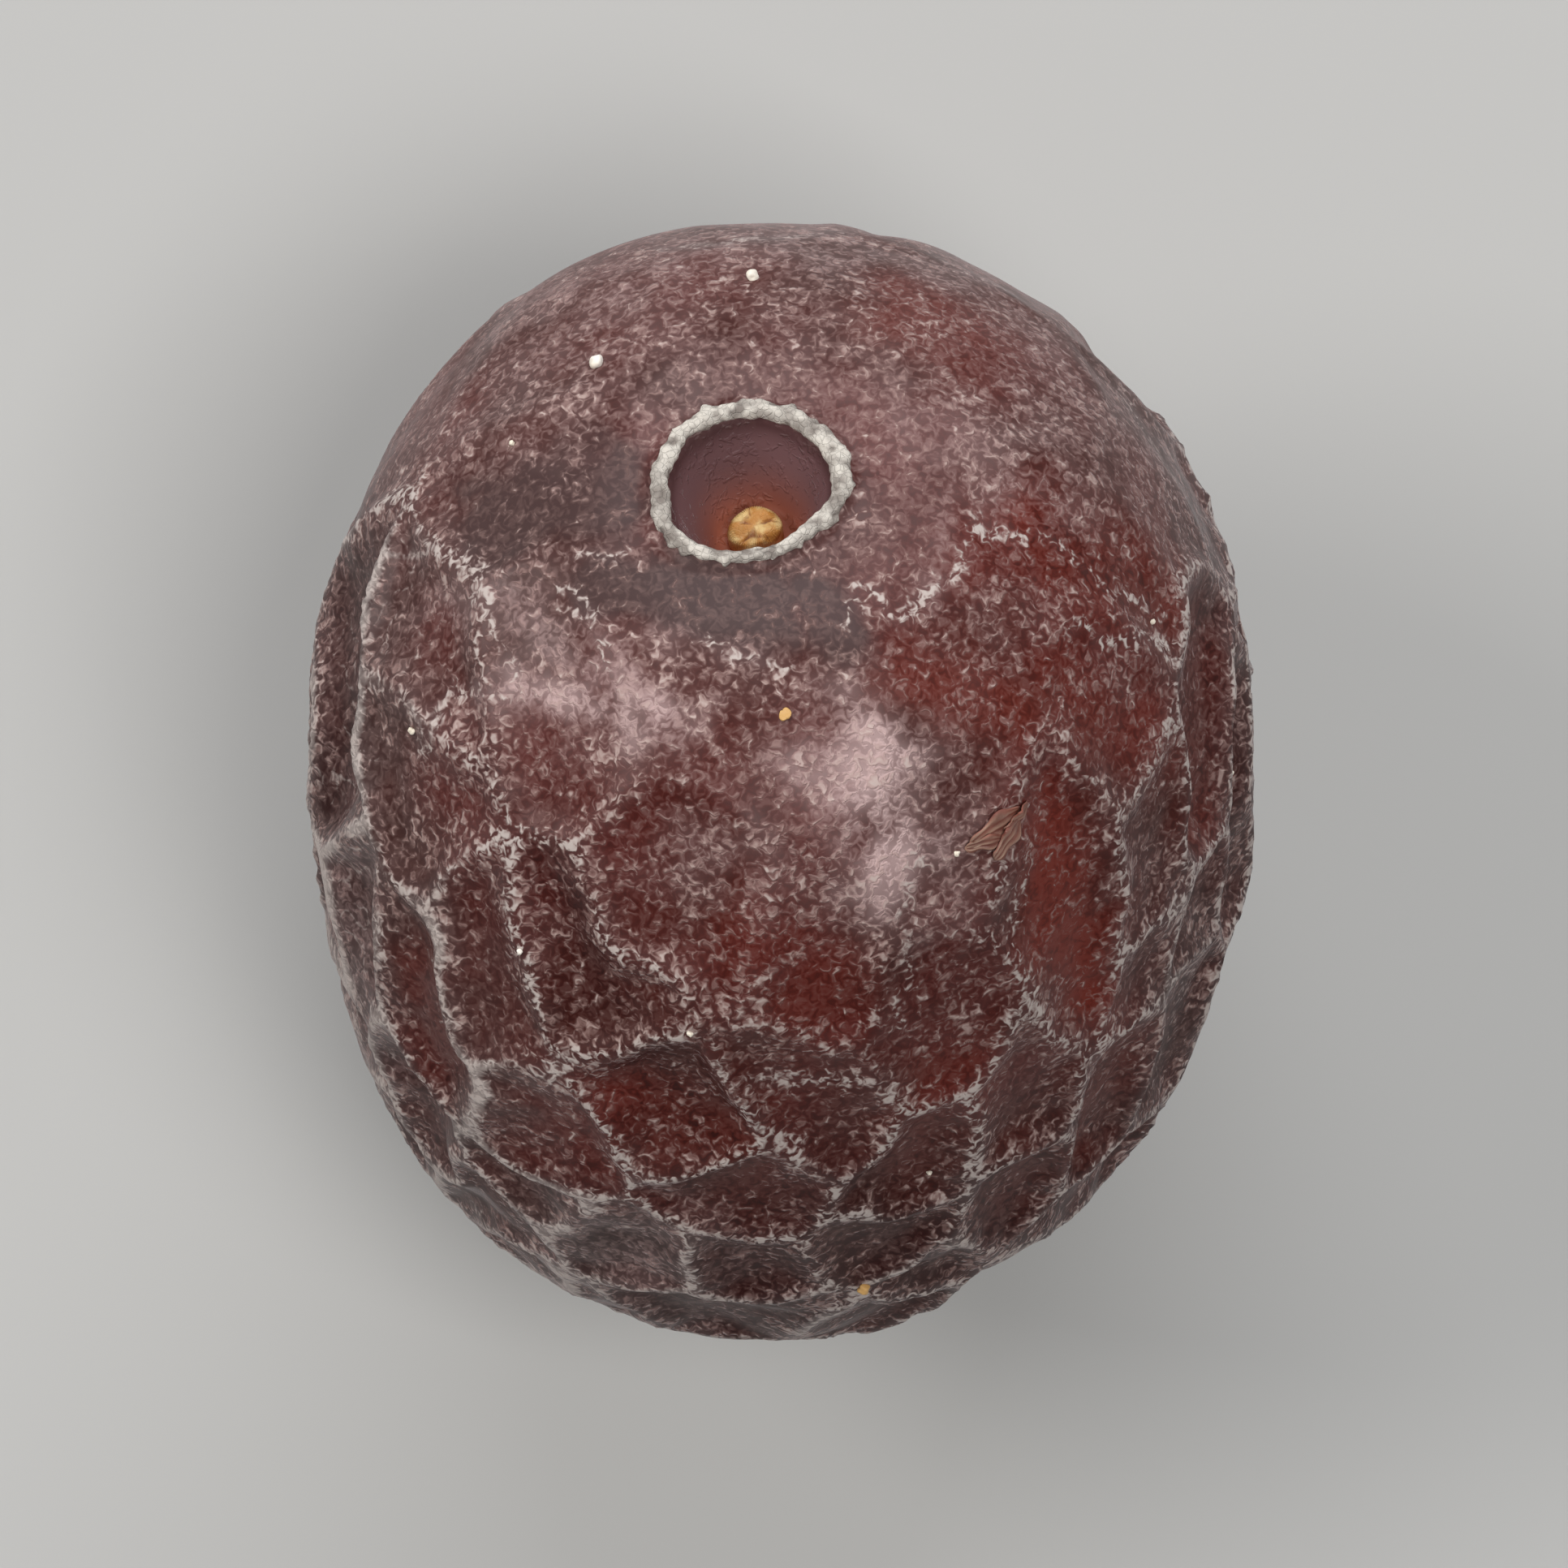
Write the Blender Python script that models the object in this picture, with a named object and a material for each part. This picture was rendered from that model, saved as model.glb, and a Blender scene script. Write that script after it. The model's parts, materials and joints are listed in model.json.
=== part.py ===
"""A dried jujube at rest on a small flat spot, its stem end up and leaning back. Metres, +Z up.

The fruit grew as one piece, so it is one solid: a barrel-shaped body with a stem pit inside a raised
corky ring, the stub of the stalk in the pit, a dimple at the blossom end, and the net of ridges round
sunken cells that the skin shrinks into as it dries. The origin is the middle of its box, at the base.
"""

import math
import random

import bmesh
import bpy
import numpy as np
from mathutils import Euler, Matrix, Vector, noise

MM = 0.001
NAME = "jujube"

# Driving dimensions of the body, in millimetres and degrees
HALF_LENGTH = 13.1
HALF_WIDTH = 10.3
HALF_DEPTH = 11.3
BARREL_POWER = 2.35
LEAN_BACK = 30.0
LEAN_LEFT = 5.2
LUMP_HEIGHT = 0.28
LUMP_LENGTH = 7.5
# How the outline seen from above departs from an oval: waves round it, their height, where one peaks
OUTLINE_WAVES = ((1, 0.31, 166.0), (2, 0.25, 47.5), (3, 0.19, 8.0), (4, 0.07, -41.0))

# Stem end: a shallow basin, a corky ring, a bowl-shaped pit and the stalk's stub at its bottom
BASIN_DEPTH, BASIN_RADIUS = 0.75, 3.6
RING_RADIUS, RING_HEIGHT, RING_HALF_WIDTH = 1.95, 0.2, 0.22
PIT_DEPTH, PIT_RADIUS, PIT_FLOOR = 2.0, 1.84, 0.75
STUB_RADIUS, STUB_HEIGHT = 0.66, 0.5
RING_WAVES = ((2, 0.035, 0.4), (3, 0.025, 1.7), (5, 0.014, 0.9))

# Blossom end: a dimple round the tiny scar of the style
DIMPLE_DEPTH, DIMPLE_RADIUS = 0.9, 2.3
SCAR_HEIGHT, SCAR_RADIUS = 0.3, 0.4
BLOSSOM_CALM, BLOSSOM_FULL = 7.0, 17.0

# The flat spot that the fruit rests on, pressed in while it dried
FLAT_LIFT = 0.34
FLAT_CALM_RADIUS = 3.6

# Relief of the dried skin
DISH_DEPTH, DISH_REACH = 0.62, 1.25
CREST_HEIGHT, CREST_HALF_WIDTH = 0.24, 0.32
RIDGE_ROUNDING = 0.18
BLEND_REACH = 0.55
WAVERS = ((0.42, 1.9), (0.14, 0.8))
# Blender's vector noise starts from the clock unless it has a seed. This one keeps the folds the same.
WAVER_SEED = 1795832515
NET_START, NET_FULL = 13.0, 24.0

# The cells of the net that are seen from above. Each is the line along the bottom of one cell, from
# (x, y) to (x, y) in millimetres from the middle of the fruit's outline, and then how deep it is.
SEEN_CELLS = (
    # left flank, from the stem end down
    ((-9.5, 4.2), (-9.7, 0.1), 0.85),
    ((-7.9, 3.7), (-7.6, 2.1), 0.45),
    ((-8.2, 0.7), (-7.6, -1.1), 0.30),
    ((-9.0, -2.4), (-9.0, -5.8), 0.70),
    ((-7.9, -3.4), (-6.9, -5.8), 0.60),
    ((-6.7, -2.8), (-6.2, -5.4), 0.50),
    ((-8.0, -6.1), (-7.1, -8.2), 0.80),
    ((-9.3, -6.0), (-8.5, -7.8), 0.55),
    ((-6.7, -9.0), (-6.4, -8.6), 0.50),
    ((-5.6, -6.4), (-5.2, -7.5), 0.45),
    ((-5.4, -8.4), (-5.2, -8.7), 0.40),
    # middle, from the belly down
    ((-4.9, -3.2), (-4.0, -4.6), 0.50),
    ((-3.2, -6.1), (-2.1, -7.4), 0.85),
    ((-3.0, -2.3), (-1.6, -2.8), 0.25),
    ((-4.1, -9.5), (-3.1, -9.8), 0.55),
    ((-1.2, -10.2), (-0.9, -10.4), 0.45),
    ((-5.2, -11.1), (-4.7, -11.2), 0.55),
    ((-5.6, -10.2), (-5.4, -10.4), 0.40),
    ((-2.4, -11.5), (0.1, -11.7), 0.60),
    ((-1.1, -8.7), (-0.7, -9.0), 0.30),
    ((0.4, -2.9), (0.9, -4.6), 0.25),
    ((2.5, -4.6), (3.4, -6.0), 0.30),
    ((0.2, -6.2), (0.9, -7.6), 0.30),
    ((3.1, -7.9), (2.3, -8.8), 0.55),
    ((2.1, -9.9), (1.8, -10.1), 0.40),
    ((3.5, -10.6), (3.0, -11.0), 0.45),
    ((0.9, -11.8), (2.6, -11.6), 0.55),
    # right flank, from the stem end down
    ((5.5, -0.7), (6.3, -4.7), 0.50),
    ((7.8, -0.7), (8.0, -2.8), 0.40),
    ((7.9, -3.7), (7.8, -4.8), 0.40),
    ((8.9, 3.4), (9.0, -0.5), 0.75),
    ((9.9, 1.3), (10.0, -1.9), 0.55),
    ((9.2, -2.9), (9.3, -3.2), 0.45),
    ((9.1, -4.5), (8.7, -6.2), 0.50),
    ((7.4, -5.9), (6.8, -7.9), 0.75),
    ((5.1, -6.1), (5.2, -7.5), 0.40),
    ((5.3, -8.7), (4.4, -10.1), 0.70),
    ((7.0, -9.1), (5.5, -10.1), 0.50),
    # nearly smooth facets between the net and the stem end
    ((3.4, 0.2), (2.6, -1.6), 0.12),
    ((-5.4, 2.9), (-5.0, 0.9), 0.24),
    ((-1.6, 2.3), (0.6, 1.0), 0.10),
    ((6.4, 2.6), (6.9, 0.9), 0.20),
    ((-6.4, 6.0), (-4.6, 6.7), 0.26),
    ((-5.8, 9.0), (-4.3, 9.9), 0.12),
    ((-1.4, 10.6), (0.4, 10.2), 0.14),
    ((3.6, 9.9), (5.2, 8.4), 0.16),
    ((4.6, 5.0), (7.2, 3.9), 0.22),
    ((2.7, 3.9), (3.4, 2.6), 0.10),
)

# The cells on the sides that the picture doesn't show, spread by a rule and drawn at random
SPREAD_CELLS = 112
SPREAD_JITTER = 1.25
SPREAD_HALF_LENGTHS = (0.2, 2.3)
SPREAD_DEPTHS = (0.35, 1.0)
SPREAD_CALM_ABOVE = (0.15, 0.55)
SPREAD_CALM = 0.94
CLEAR_OF_SEEN = 2.4
SEED = 12

# Mesh: an even skin, thinned to the triangles that the ridges need
SEGMENTS = 260
STEM_STEP, SKIN_STEP = 0.08, 0.22
STEM_END_RADIUS = 2.8
KEPT_TRIANGLES = 11200

SKIN_COLOUR = (0.115, 0.022, 0.018, 1.0)
SKIN_ROUGHNESS = 0.5


def smooth_step(low, high, value):
    """0 below low, 1 above high, and a smooth rise between."""
    share = np.clip((value - low) / (high - low), 0.0, 1.0)
    return share * share * (3.0 - 2.0 * share)


def stance():
    """The turn that leans the upright fruit's stem end back and a little to the left."""
    return Euler((math.radians(-LEAN_BACK), math.radians(-LEAN_LEFT), 0.0)).to_matrix()


def body_implicit(points):
    """1 on the plain body's surface, less inside it. Points are in the fruit's own frame."""
    across = np.hypot(points[:, 0] / HALF_WIDTH, points[:, 1] / HALF_DEPTH)
    along = np.abs(points[:, 2] / HALF_LENGTH)
    return across**BARREL_POWER + along**BARREL_POWER


def body_normals(points):
    """Unit normals of the plain body at points on its surface."""
    across = np.maximum(np.hypot(points[:, 0] / HALF_WIDTH, points[:, 1] / HALF_DEPTH), 1e-6)
    side = across ** (BARREL_POWER - 2.0)
    along = np.abs(points[:, 2] / HALF_LENGTH) ** (BARREL_POWER - 1.0) / HALF_LENGTH
    slopes = np.stack(
        (
            side * points[:, 0] / HALF_WIDTH**2,
            side * points[:, 1] / HALF_DEPTH**2,
            along * np.sign(points[:, 2]),
        ),
        axis=1,
    )
    return slopes / np.linalg.norm(slopes, axis=1, keepdims=True)


def seen_to_body(x, y):
    """The point of the plain body's upper side that lies under (x, y) as seen from above."""
    turn = np.array(stance())
    heights = np.linspace(0.0, HALF_LENGTH * 1.1, 400)
    column = np.stack((np.full_like(heights, x), np.full_like(heights, y), heights), axis=1)
    inside = np.flatnonzero(body_implicit(column @ turn) <= 1.0)
    return column[inside[-1] if len(inside) else 0] @ turn


def spread_cells(seen):
    """Cells on the hidden sides: a spiral over the body, each point shaken and grown into a line."""
    draw = random.Random(SEED)
    golden_turn = math.pi * (3.0 - math.sqrt(5.0))
    cells = []
    for index in range(SPREAD_CELLS):
        level = 1.0 - 2.0 * (index + 0.5) / SPREAD_CELLS
        ring = math.sqrt(1.0 - level * level)
        turn = golden_turn * index
        middle = Vector((HALF_WIDTH * ring * math.cos(turn), HALF_DEPTH * ring * math.sin(turn), HALF_LENGTH * level))
        middle += SPREAD_JITTER * Vector((draw.uniform(-1, 1), draw.uniform(-1, 1), draw.uniform(-1, 1)))
        half = draw.uniform(*SPREAD_HALF_LENGTHS)
        along = Vector((draw.uniform(-0.4, 0.4), draw.uniform(-0.4, 0.4), 1.0)).normalized()
        depth = draw.uniform(*SPREAD_DEPTHS)
        depth *= 1.0 - SPREAD_CALM * float(smooth_step(*SPREAD_CALM_ABOVE, level))
        if min((middle - Vector(point)).length for cell in seen for point in cell[:2]) > CLEAR_OF_SEEN:
            cells.append((np.array(middle - along * half), np.array(middle + along * half), depth))
    return cells


def all_cells():
    """Every cell of the net as (start, end, depth), in the fruit's own frame."""
    seen = [(seen_to_body(*start), seen_to_body(*end), depth) for start, end, depth in SEEN_CELLS]
    return seen + spread_cells(seen)


def distance_to_line(points, start, end):
    """Distance from each point to the line from start to end."""
    run = end - start
    length_squared = max(float(run @ run), 1e-9)
    share = np.clip((points - start) @ run / length_squared, 0.0, 1.0)
    return np.linalg.norm(points - start - share[:, None] * run, axis=1)


def wavered(points):
    """The points shifted a little by noise, so that ridges between cells wander."""
    moved = points.copy()
    for size, length in WAVERS:
        moved += size * np.array([noise.noise_vector(Vector(point) / length) for point in points])
    return moved


def net_relief(points):
    """Height of the net at each point: ridges stand up between the cells, and cells are dished."""
    moved = wavered(points)
    cells = all_cells()
    reach = np.stack([distance_to_line(moved, start, end) for start, end, _ in cells], axis=1)
    depths = np.array([depth for _, _, depth in cells])
    nearest = np.sort(reach, axis=1)[:, :2]
    to_ridge = 0.5 * (nearest[:, 1] - nearest[:, 0])
    to_ridge = np.hypot(to_ridge, RIDGE_ROUNDING) - RIDGE_ROUNDING
    weights = np.exp(-(reach - nearest[:, :1]) / BLEND_REACH)
    depth_here = (weights * depths).sum(axis=1) / weights.sum(axis=1)
    dish = 1.0 - (1.0 - np.clip(to_ridge / DISH_REACH, 0.0, 1.0)) ** 2
    crest = np.exp(-((to_ridge / CREST_HALF_WIDTH) ** 2))
    return depth_here * (CREST_HEIGHT * crest - DISH_DEPTH * dish)


def lowest_direction():
    """Straight down, in the fruit's own frame."""
    return np.array([0.0, 0.0, -1.0]) @ np.array(stance())


def relief_mask(points):
    """Where the net shows: not at the two ends, and not where the skin is pressed flat."""
    lengths = np.linalg.norm(points, axis=1)
    from_stem = np.degrees(np.arccos(np.clip(points[:, 2] / lengths, -1.0, 1.0)))
    down = lowest_direction()
    below = points @ down
    off_centre = np.linalg.norm(points - below[:, None] * down, axis=1)
    calm = 1.0 - smooth_step(0.7 * FLAT_CALM_RADIUS, 1.15 * FLAT_CALM_RADIUS, off_centre)
    calm *= below > 0.0
    ends = smooth_step(NET_START, NET_FULL, from_stem) * smooth_step(BLOSSOM_CALM, BLOSSOM_FULL, 180.0 - from_stem)
    return ends * (1.0 - calm)


def lump_relief(points):
    """Broad, low lumps over the whole body."""
    return LUMP_HEIGHT * np.array([noise.noise(Vector(point) / LUMP_LENGTH) for point in points])


def outline_relief(points, normals):
    """Swells and flats round the outline seen from above, which fade toward the top and the bottom."""
    turn = np.array(stance())
    standing = points @ turn.T
    facing = normals @ turn[2]
    around = np.degrees(np.arctan2(standing[:, 1], standing[:, 0]))
    lift = np.zeros(len(points))
    for waves, height, peak in OUTLINE_WAVES:
        lift += height * np.cos(np.radians(waves * (around - peak)))
    return lift * (1.0 - facing**2) ** 2


def ring_scale(angles):
    """How far the ring and the pit depart from a true circle at each angle round the stem."""
    scale = np.ones_like(angles)
    for waves, size, phase in RING_WAVES:
        scale += size * np.sin(waves * angles + phase)
    return scale


def stem_offset(radii, angles):
    """Axial offset at the stem end: basin, corky ring, pit and the stub in it."""
    across = radii / ring_scale(angles)
    basin = -BASIN_DEPTH * np.exp(-((radii / BASIN_RADIUS) ** 2))
    ring = RING_HEIGHT * np.exp(-(((across - RING_RADIUS) / RING_HALF_WIDTH) ** 2))
    pit = -PIT_DEPTH * (1.0 - smooth_step(PIT_FLOOR, PIT_RADIUS, across))
    stub = STUB_HEIGHT * np.sqrt(np.clip(1.0 - (radii / STUB_RADIUS) ** 2, 0.0, 1.0))
    return basin + ring + pit + stub


def blossom_offset(radii):
    """Axial offset at the blossom end, whose outside faces down the axis."""
    dimple = DIMPLE_DEPTH * np.exp(-((radii / DIMPLE_RADIUS) ** 2))
    scar = -SCAR_HEIGHT * (1.0 - smooth_step(0.4 * SCAR_RADIUS, SCAR_RADIUS, radii))
    return dimple + scar


def meridian():
    """(radius share, height) pairs down the plain body, from just off the stem pole to the far pole."""
    mean_radius = 0.5 * (HALF_WIDTH + HALF_DEPTH)
    turns = np.linspace(0.0, math.pi, 4000)
    shares = np.sin(turns) ** (2.0 / BARREL_POWER)
    heights = np.sign(np.cos(turns)) * np.abs(np.cos(turns)) ** (2.0 / BARREL_POWER) * HALF_LENGTH
    steps = np.hypot(np.diff(shares) * mean_radius, np.diff(heights))
    run = np.concatenate(([0.0], np.cumsum(steps)))
    fine = np.arange(STEM_STEP, STEM_END_RADIUS, STEM_STEP)
    count = int((run[-1] - STEM_END_RADIUS) / SKIN_STEP)
    coarse = np.linspace(STEM_END_RADIUS, run[-1], count, endpoint=False)
    picks = np.concatenate((fine, coarse))
    return np.interp(picks, run, shares), np.interp(picks, run, heights)


def skin_points():
    """All points of the wrinkled skin, ring by ring, with the two poles last."""
    shares, heights = meridian()
    angles = np.linspace(0.0, 2.0 * math.pi, SEGMENTS, endpoint=False)
    share, angle = (grid.ravel() for grid in np.meshgrid(shares, angles, indexing="ij"))
    height = np.repeat(heights, SEGMENTS)
    plain = np.stack((HALF_WIDTH * share * np.cos(angle), HALF_DEPTH * share * np.sin(angle), height), axis=1)
    plain = np.vstack((plain, [[0.0, 0.0, HALF_LENGTH], [0.0, 0.0, -HALF_LENGTH]]))
    angle = np.append(angle, (0.0, 0.0))
    radii = np.hypot(plain[:, 0], plain[:, 1])
    normals = body_normals(plain)
    lift = net_relief(plain) * relief_mask(plain) + lump_relief(plain) + outline_relief(plain, normals)
    points = plain + normals * lift[:, None]
    upper = plain[:, 2] > 0.0
    points[:, 2] += np.where(upper, stem_offset(radii, angle), blossom_offset(radii))
    return points, len(shares)


def skin_faces(rings):
    """Quads between neighbouring rings, and a fan of triangles at each pole."""
    stem_pole = rings * SEGMENTS
    blossom_pole = stem_pole + 1
    faces = []
    for ring in range(rings - 1):
        for step in range(SEGMENTS):
            near, far = ring * SEGMENTS + step, ring * SEGMENTS + (step + 1) % SEGMENTS
            faces.append((near, near + SEGMENTS, far + SEGMENTS, far))
    last = (rings - 1) * SEGMENTS
    for step in range(SEGMENTS):
        following = (step + 1) % SEGMENTS
        faces.append((stem_pole, step, following))
        faces.append((blossom_pole, last + following, last + step))
    return faces


def thin_out(fruit):
    """Keeps the triangles that the ridges need and drops the rest."""
    triangles = sum(len(face.vertices) - 2 for face in fruit.data.polygons)
    thinner = fruit.modifiers.new("fewer triangles", "DECIMATE")
    thinner.ratio = KEPT_TRIANGLES / triangles
    bpy.context.view_layer.objects.active = fruit
    bpy.ops.object.modifier_apply(modifier=thinner.name)


def cut_flat_spot(fruit):
    """Cuts the lowest bulge off level, closes the cut and sets the base's middle on the origin."""
    shape = bmesh.new()
    shape.from_mesh(fruit.data)
    lowest = min(vertex.co.z for vertex in shape.verts)
    level = Vector((0.0, 0.0, lowest + FLAT_LIFT * MM))
    parts = shape.verts[:] + shape.edges[:] + shape.faces[:]
    bmesh.ops.bisect_plane(shape, geom=parts, plane_co=level, plane_no=(0, 0, -1), clear_outer=True, dist=1e-7)
    rim = [edge for edge in shape.edges if edge.is_boundary]
    bmesh.ops.edgeloop_fill(shape, edges=rim)
    bmesh.ops.recalc_face_normals(shape, faces=shape.faces)
    middle_x = 0.5 * (min(v.co.x for v in shape.verts) + max(v.co.x for v in shape.verts))
    middle_y = 0.5 * (min(v.co.y for v in shape.verts) + max(v.co.y for v in shape.verts))
    bmesh.ops.translate(shape, verts=shape.verts, vec=(-middle_x, -middle_y, -level.z))
    shape.to_mesh(fruit.data)
    shape.free()


def skin_material():
    """Dark red-brown, leathery dried skin."""
    material = bpy.data.materials.new("dried_skin")
    material.use_nodes = True
    shader = material.node_tree.nodes["Principled BSDF"]
    shader.inputs["Base Color"].default_value = SKIN_COLOUR
    shader.inputs["Roughness"].default_value = SKIN_ROUGHNESS
    return material


def build_fruit():
    """The whole fruit as one object, in its resting pose."""
    noise.seed_set(WAVER_SEED)
    points, rings = skin_points()
    mesh = bpy.data.meshes.new(NAME)
    mesh.from_pydata([Vector(point) for point in points], [], skin_faces(rings))
    mesh.transform(Matrix.Scale(MM, 4) @ stance().to_4x4())
    fruit = bpy.data.objects.new(NAME, mesh)
    bpy.context.scene.collection.objects.link(fruit)
    thin_out(fruit)
    cut_flat_spot(fruit)
    fruit.data.materials.append(skin_material())
    fruit.data.shade_smooth()
    fruit.data.set_sharp_from_angle(angle=math.radians(50))
    return fruit


for old in list(bpy.data.objects):
    bpy.data.objects.remove(old)
build_fruit()
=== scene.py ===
# %% [markdown]
# # A dried jujube
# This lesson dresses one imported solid: a dried jujube, about 25 mm long, that rests on a small flat
# spot with its stem end up and leaning back. The real fruit grew as one piece, so the skin carries
# nearly all of the look: a net of pale ridges round sunken, glossier cells, a grey-mauve bloom, and
# fine pale flecks. Small pieces sit on it: the corky ring, the stalk's stub, the blossom's scar, a
# tear in the skin and a few grains of dust. Lengths are worked out in millimetres, in a frame where
# the fruit stands upright on its blossom end, and turned and shrunk to metres at the end.

# %% Load the frame and keep its box
import json
import math
import random

import bpy
import numpy as np
from mathutils import Euler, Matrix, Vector, noise
from mathutils.bvhtree import BVHTree

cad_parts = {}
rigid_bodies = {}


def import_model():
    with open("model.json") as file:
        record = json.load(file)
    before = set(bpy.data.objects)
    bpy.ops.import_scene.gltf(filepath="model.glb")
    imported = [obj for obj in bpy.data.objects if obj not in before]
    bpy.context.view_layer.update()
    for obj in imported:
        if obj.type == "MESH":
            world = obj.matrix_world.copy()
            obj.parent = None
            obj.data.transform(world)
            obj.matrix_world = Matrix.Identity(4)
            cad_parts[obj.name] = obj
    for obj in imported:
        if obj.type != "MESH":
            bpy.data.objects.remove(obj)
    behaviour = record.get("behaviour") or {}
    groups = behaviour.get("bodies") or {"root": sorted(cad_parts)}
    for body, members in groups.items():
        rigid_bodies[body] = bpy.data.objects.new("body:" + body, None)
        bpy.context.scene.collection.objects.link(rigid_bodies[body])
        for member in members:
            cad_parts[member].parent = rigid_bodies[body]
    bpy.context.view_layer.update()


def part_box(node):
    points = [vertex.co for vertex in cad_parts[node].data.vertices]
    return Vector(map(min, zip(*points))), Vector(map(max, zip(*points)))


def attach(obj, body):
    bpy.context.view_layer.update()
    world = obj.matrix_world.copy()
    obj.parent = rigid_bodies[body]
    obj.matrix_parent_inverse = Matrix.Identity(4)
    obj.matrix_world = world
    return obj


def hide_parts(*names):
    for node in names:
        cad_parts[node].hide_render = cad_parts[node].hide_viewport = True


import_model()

MM = 0.001
cad_low, cad_high = (np.array(corner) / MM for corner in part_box("jujube"))
print("box of the solid, mm:", np.round(cad_low, 2), np.round(cad_high, 2))

# %% [markdown]
# ## The place it lies in
# A pale matt floor and a pale world give soft fill from all round. The look of the dried skin comes
# from how it takes highlights, so three square, soft lamps stand in for windows: one to the left, one
# nearly overhead, and a wide one behind that lights the stem end more than the belly. One big lamp
# would be simpler, but the fruit would show one broad sheen in place of two small soft patches. The
# camera looks straight down, from far enough away that the fruit's sides don't spread.

# %% Floor, world, lamps and camera
FLOOR_SIZE, FLOOR_DROP = 0.9, 0.00003
WORLD_TINT, WORLD_STRENGTH = (0.93, 0.96, 1.0, 1.0), 0.18
CAMERA_DISTANCE, CAMERA_LENS, CAMERA_NEAREST = 0.25, 262.0, 0.01
WINDOWS = (
    # name, direction from the fruit, distance, size, power, tint
    ("left_window", (-0.72, 0.25, 0.64), 0.6, 0.26, 1.75, (1.0, 0.97, 0.94)),
    ("upper_window", (0.24, -0.10, 0.96), 0.6, 0.22, 1.8, (1.0, 0.98, 0.96)),
    ("back_window", (0.05, 0.86, 0.50), 0.7, 0.50, 3.3, (0.97, 0.98, 1.0)),
)
middle = Vector((0.0, 0.0, 0.5 * cad_high[2] * MM))


def add_floor():
    bpy.ops.object.select_all(action="DESELECT")
    bpy.ops.mesh.primitive_plane_add(size=FLOOR_SIZE, location=(0.0, 0.0, -FLOOR_DROP))
    floor = bpy.context.object
    floor.name = "floor"
    bpy.ops.object.transform_apply(location=True, rotation=True, scale=True)
    return floor


def add_world():
    world = bpy.data.worlds.new("pale_room")
    world.use_nodes = True
    background = world.node_tree.nodes["Background"].inputs
    background["Color"].default_value = WORLD_TINT
    background["Strength"].default_value = WORLD_STRENGTH
    bpy.context.scene.world = world


def add_window(name, direction, distance, size, power, tint):
    lamp = bpy.data.lights.new(name, "AREA")
    lamp.shape = "SQUARE"
    lamp.size = size
    lamp.energy = power
    lamp.color = tint
    holder = bpy.data.objects.new(name, lamp)
    bpy.context.scene.collection.objects.link(holder)
    holder.location = middle + Vector(direction).normalized() * distance
    holder.rotation_euler = (middle - holder.location).to_track_quat("-Z", "Y").to_euler()
    holder.visible_camera = False


def add_camera():
    lens = bpy.data.cameras.new("overhead")
    lens.lens = CAMERA_LENS
    lens.clip_start = CAMERA_NEAREST
    camera = bpy.data.objects.new("overhead", lens)
    bpy.context.scene.collection.objects.link(camera)
    camera.location = middle + Vector((0.0, 0.0, CAMERA_DISTANCE))
    bpy.context.scene.camera = camera


floor = add_floor()
add_world()
for window in WINDOWS:
    add_window(*window)
add_camera()
bpy.context.scene.view_settings.view_transform = "Standard"
print("floor, world, camera and", len(WINDOWS), "lamps are set")

# %% [markdown]
# ## Tools for every piece
# Each piece starts as a primitive and is shaped in edit mode. An operator acts on all that is
# selected, and loading the frame leaves the solid selected, so the helpers deselect first. After
# merging points, faces are turned outwards again, and a piece's object stays at the origin with its
# place in its mesh.

# %% Helpers for selecting, closing and joining pieces
MERGE = 0.0004 * MM


def select_only(*pieces):
    """Deselects everything but these pieces and makes the first of them the active one."""
    bpy.ops.object.select_all(action="DESELECT")
    for piece in pieces:
        piece.select_set(True)
    bpy.context.view_layer.objects.active = pieces[0]


def start_piece(name):
    """Names the primitive that was just added and makes it the one piece at work."""
    piece = bpy.context.object
    piece.name = piece.data.name = name
    select_only(piece)
    bpy.ops.object.transform_apply(location=True, rotation=True, scale=True)
    return piece


def edit(select="SELECT"):
    bpy.ops.object.mode_set(mode="EDIT")
    bpy.ops.mesh.select_all(action=select)


def done():
    bpy.ops.object.mode_set(mode="OBJECT")


def apply_all(piece):
    select_only(piece)
    for modifier in list(piece.modifiers):
        bpy.ops.object.modifier_apply(modifier=modifier.name)


def close_shape(piece):
    """Merges doubled points, turns every face outwards and shades the piece smooth."""
    bpy.context.view_layer.objects.active = piece
    edit()
    bpy.ops.mesh.remove_doubles(threshold=MERGE)
    bpy.ops.mesh.normals_make_consistent(inside=False)
    done()
    piece.data.shade_smooth()


def join_pieces(pieces, name):
    select_only(*pieces)
    bpy.ops.object.join()
    joined = bpy.context.object
    joined.name = joined.data.name = name
    close_shape(joined)
    return joined


# %% Helpers for points and noise
def points_of(piece):
    """The piece's points in millimetres."""
    flat = np.empty(len(piece.data.vertices) * 3)
    piece.data.vertices.foreach_get("co", flat)
    return flat.reshape(-1, 3) / MM


def move_points(piece, points):
    piece.data.vertices.foreach_set("co", (np.asarray(points) * MM).ravel())
    piece.data.update()


def paint(piece, name, values):
    """Stores one number for each point, for a material to read."""
    layer = piece.data.attributes.new(name, "FLOAT", "POINT")
    layer.data.foreach_set("value", np.asarray(values, dtype=np.float32))


def count_triangles(piece):
    return sum(len(face.vertices) - 2 for face in piece.data.polygons)


def smooth_step(low, high, value):
    """0 below low, 1 above high, and a smooth rise between."""
    share = np.clip((value - low) / (high - low), 0.0, 1.0)
    return share * share * (3.0 - 2.0 * share)


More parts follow.
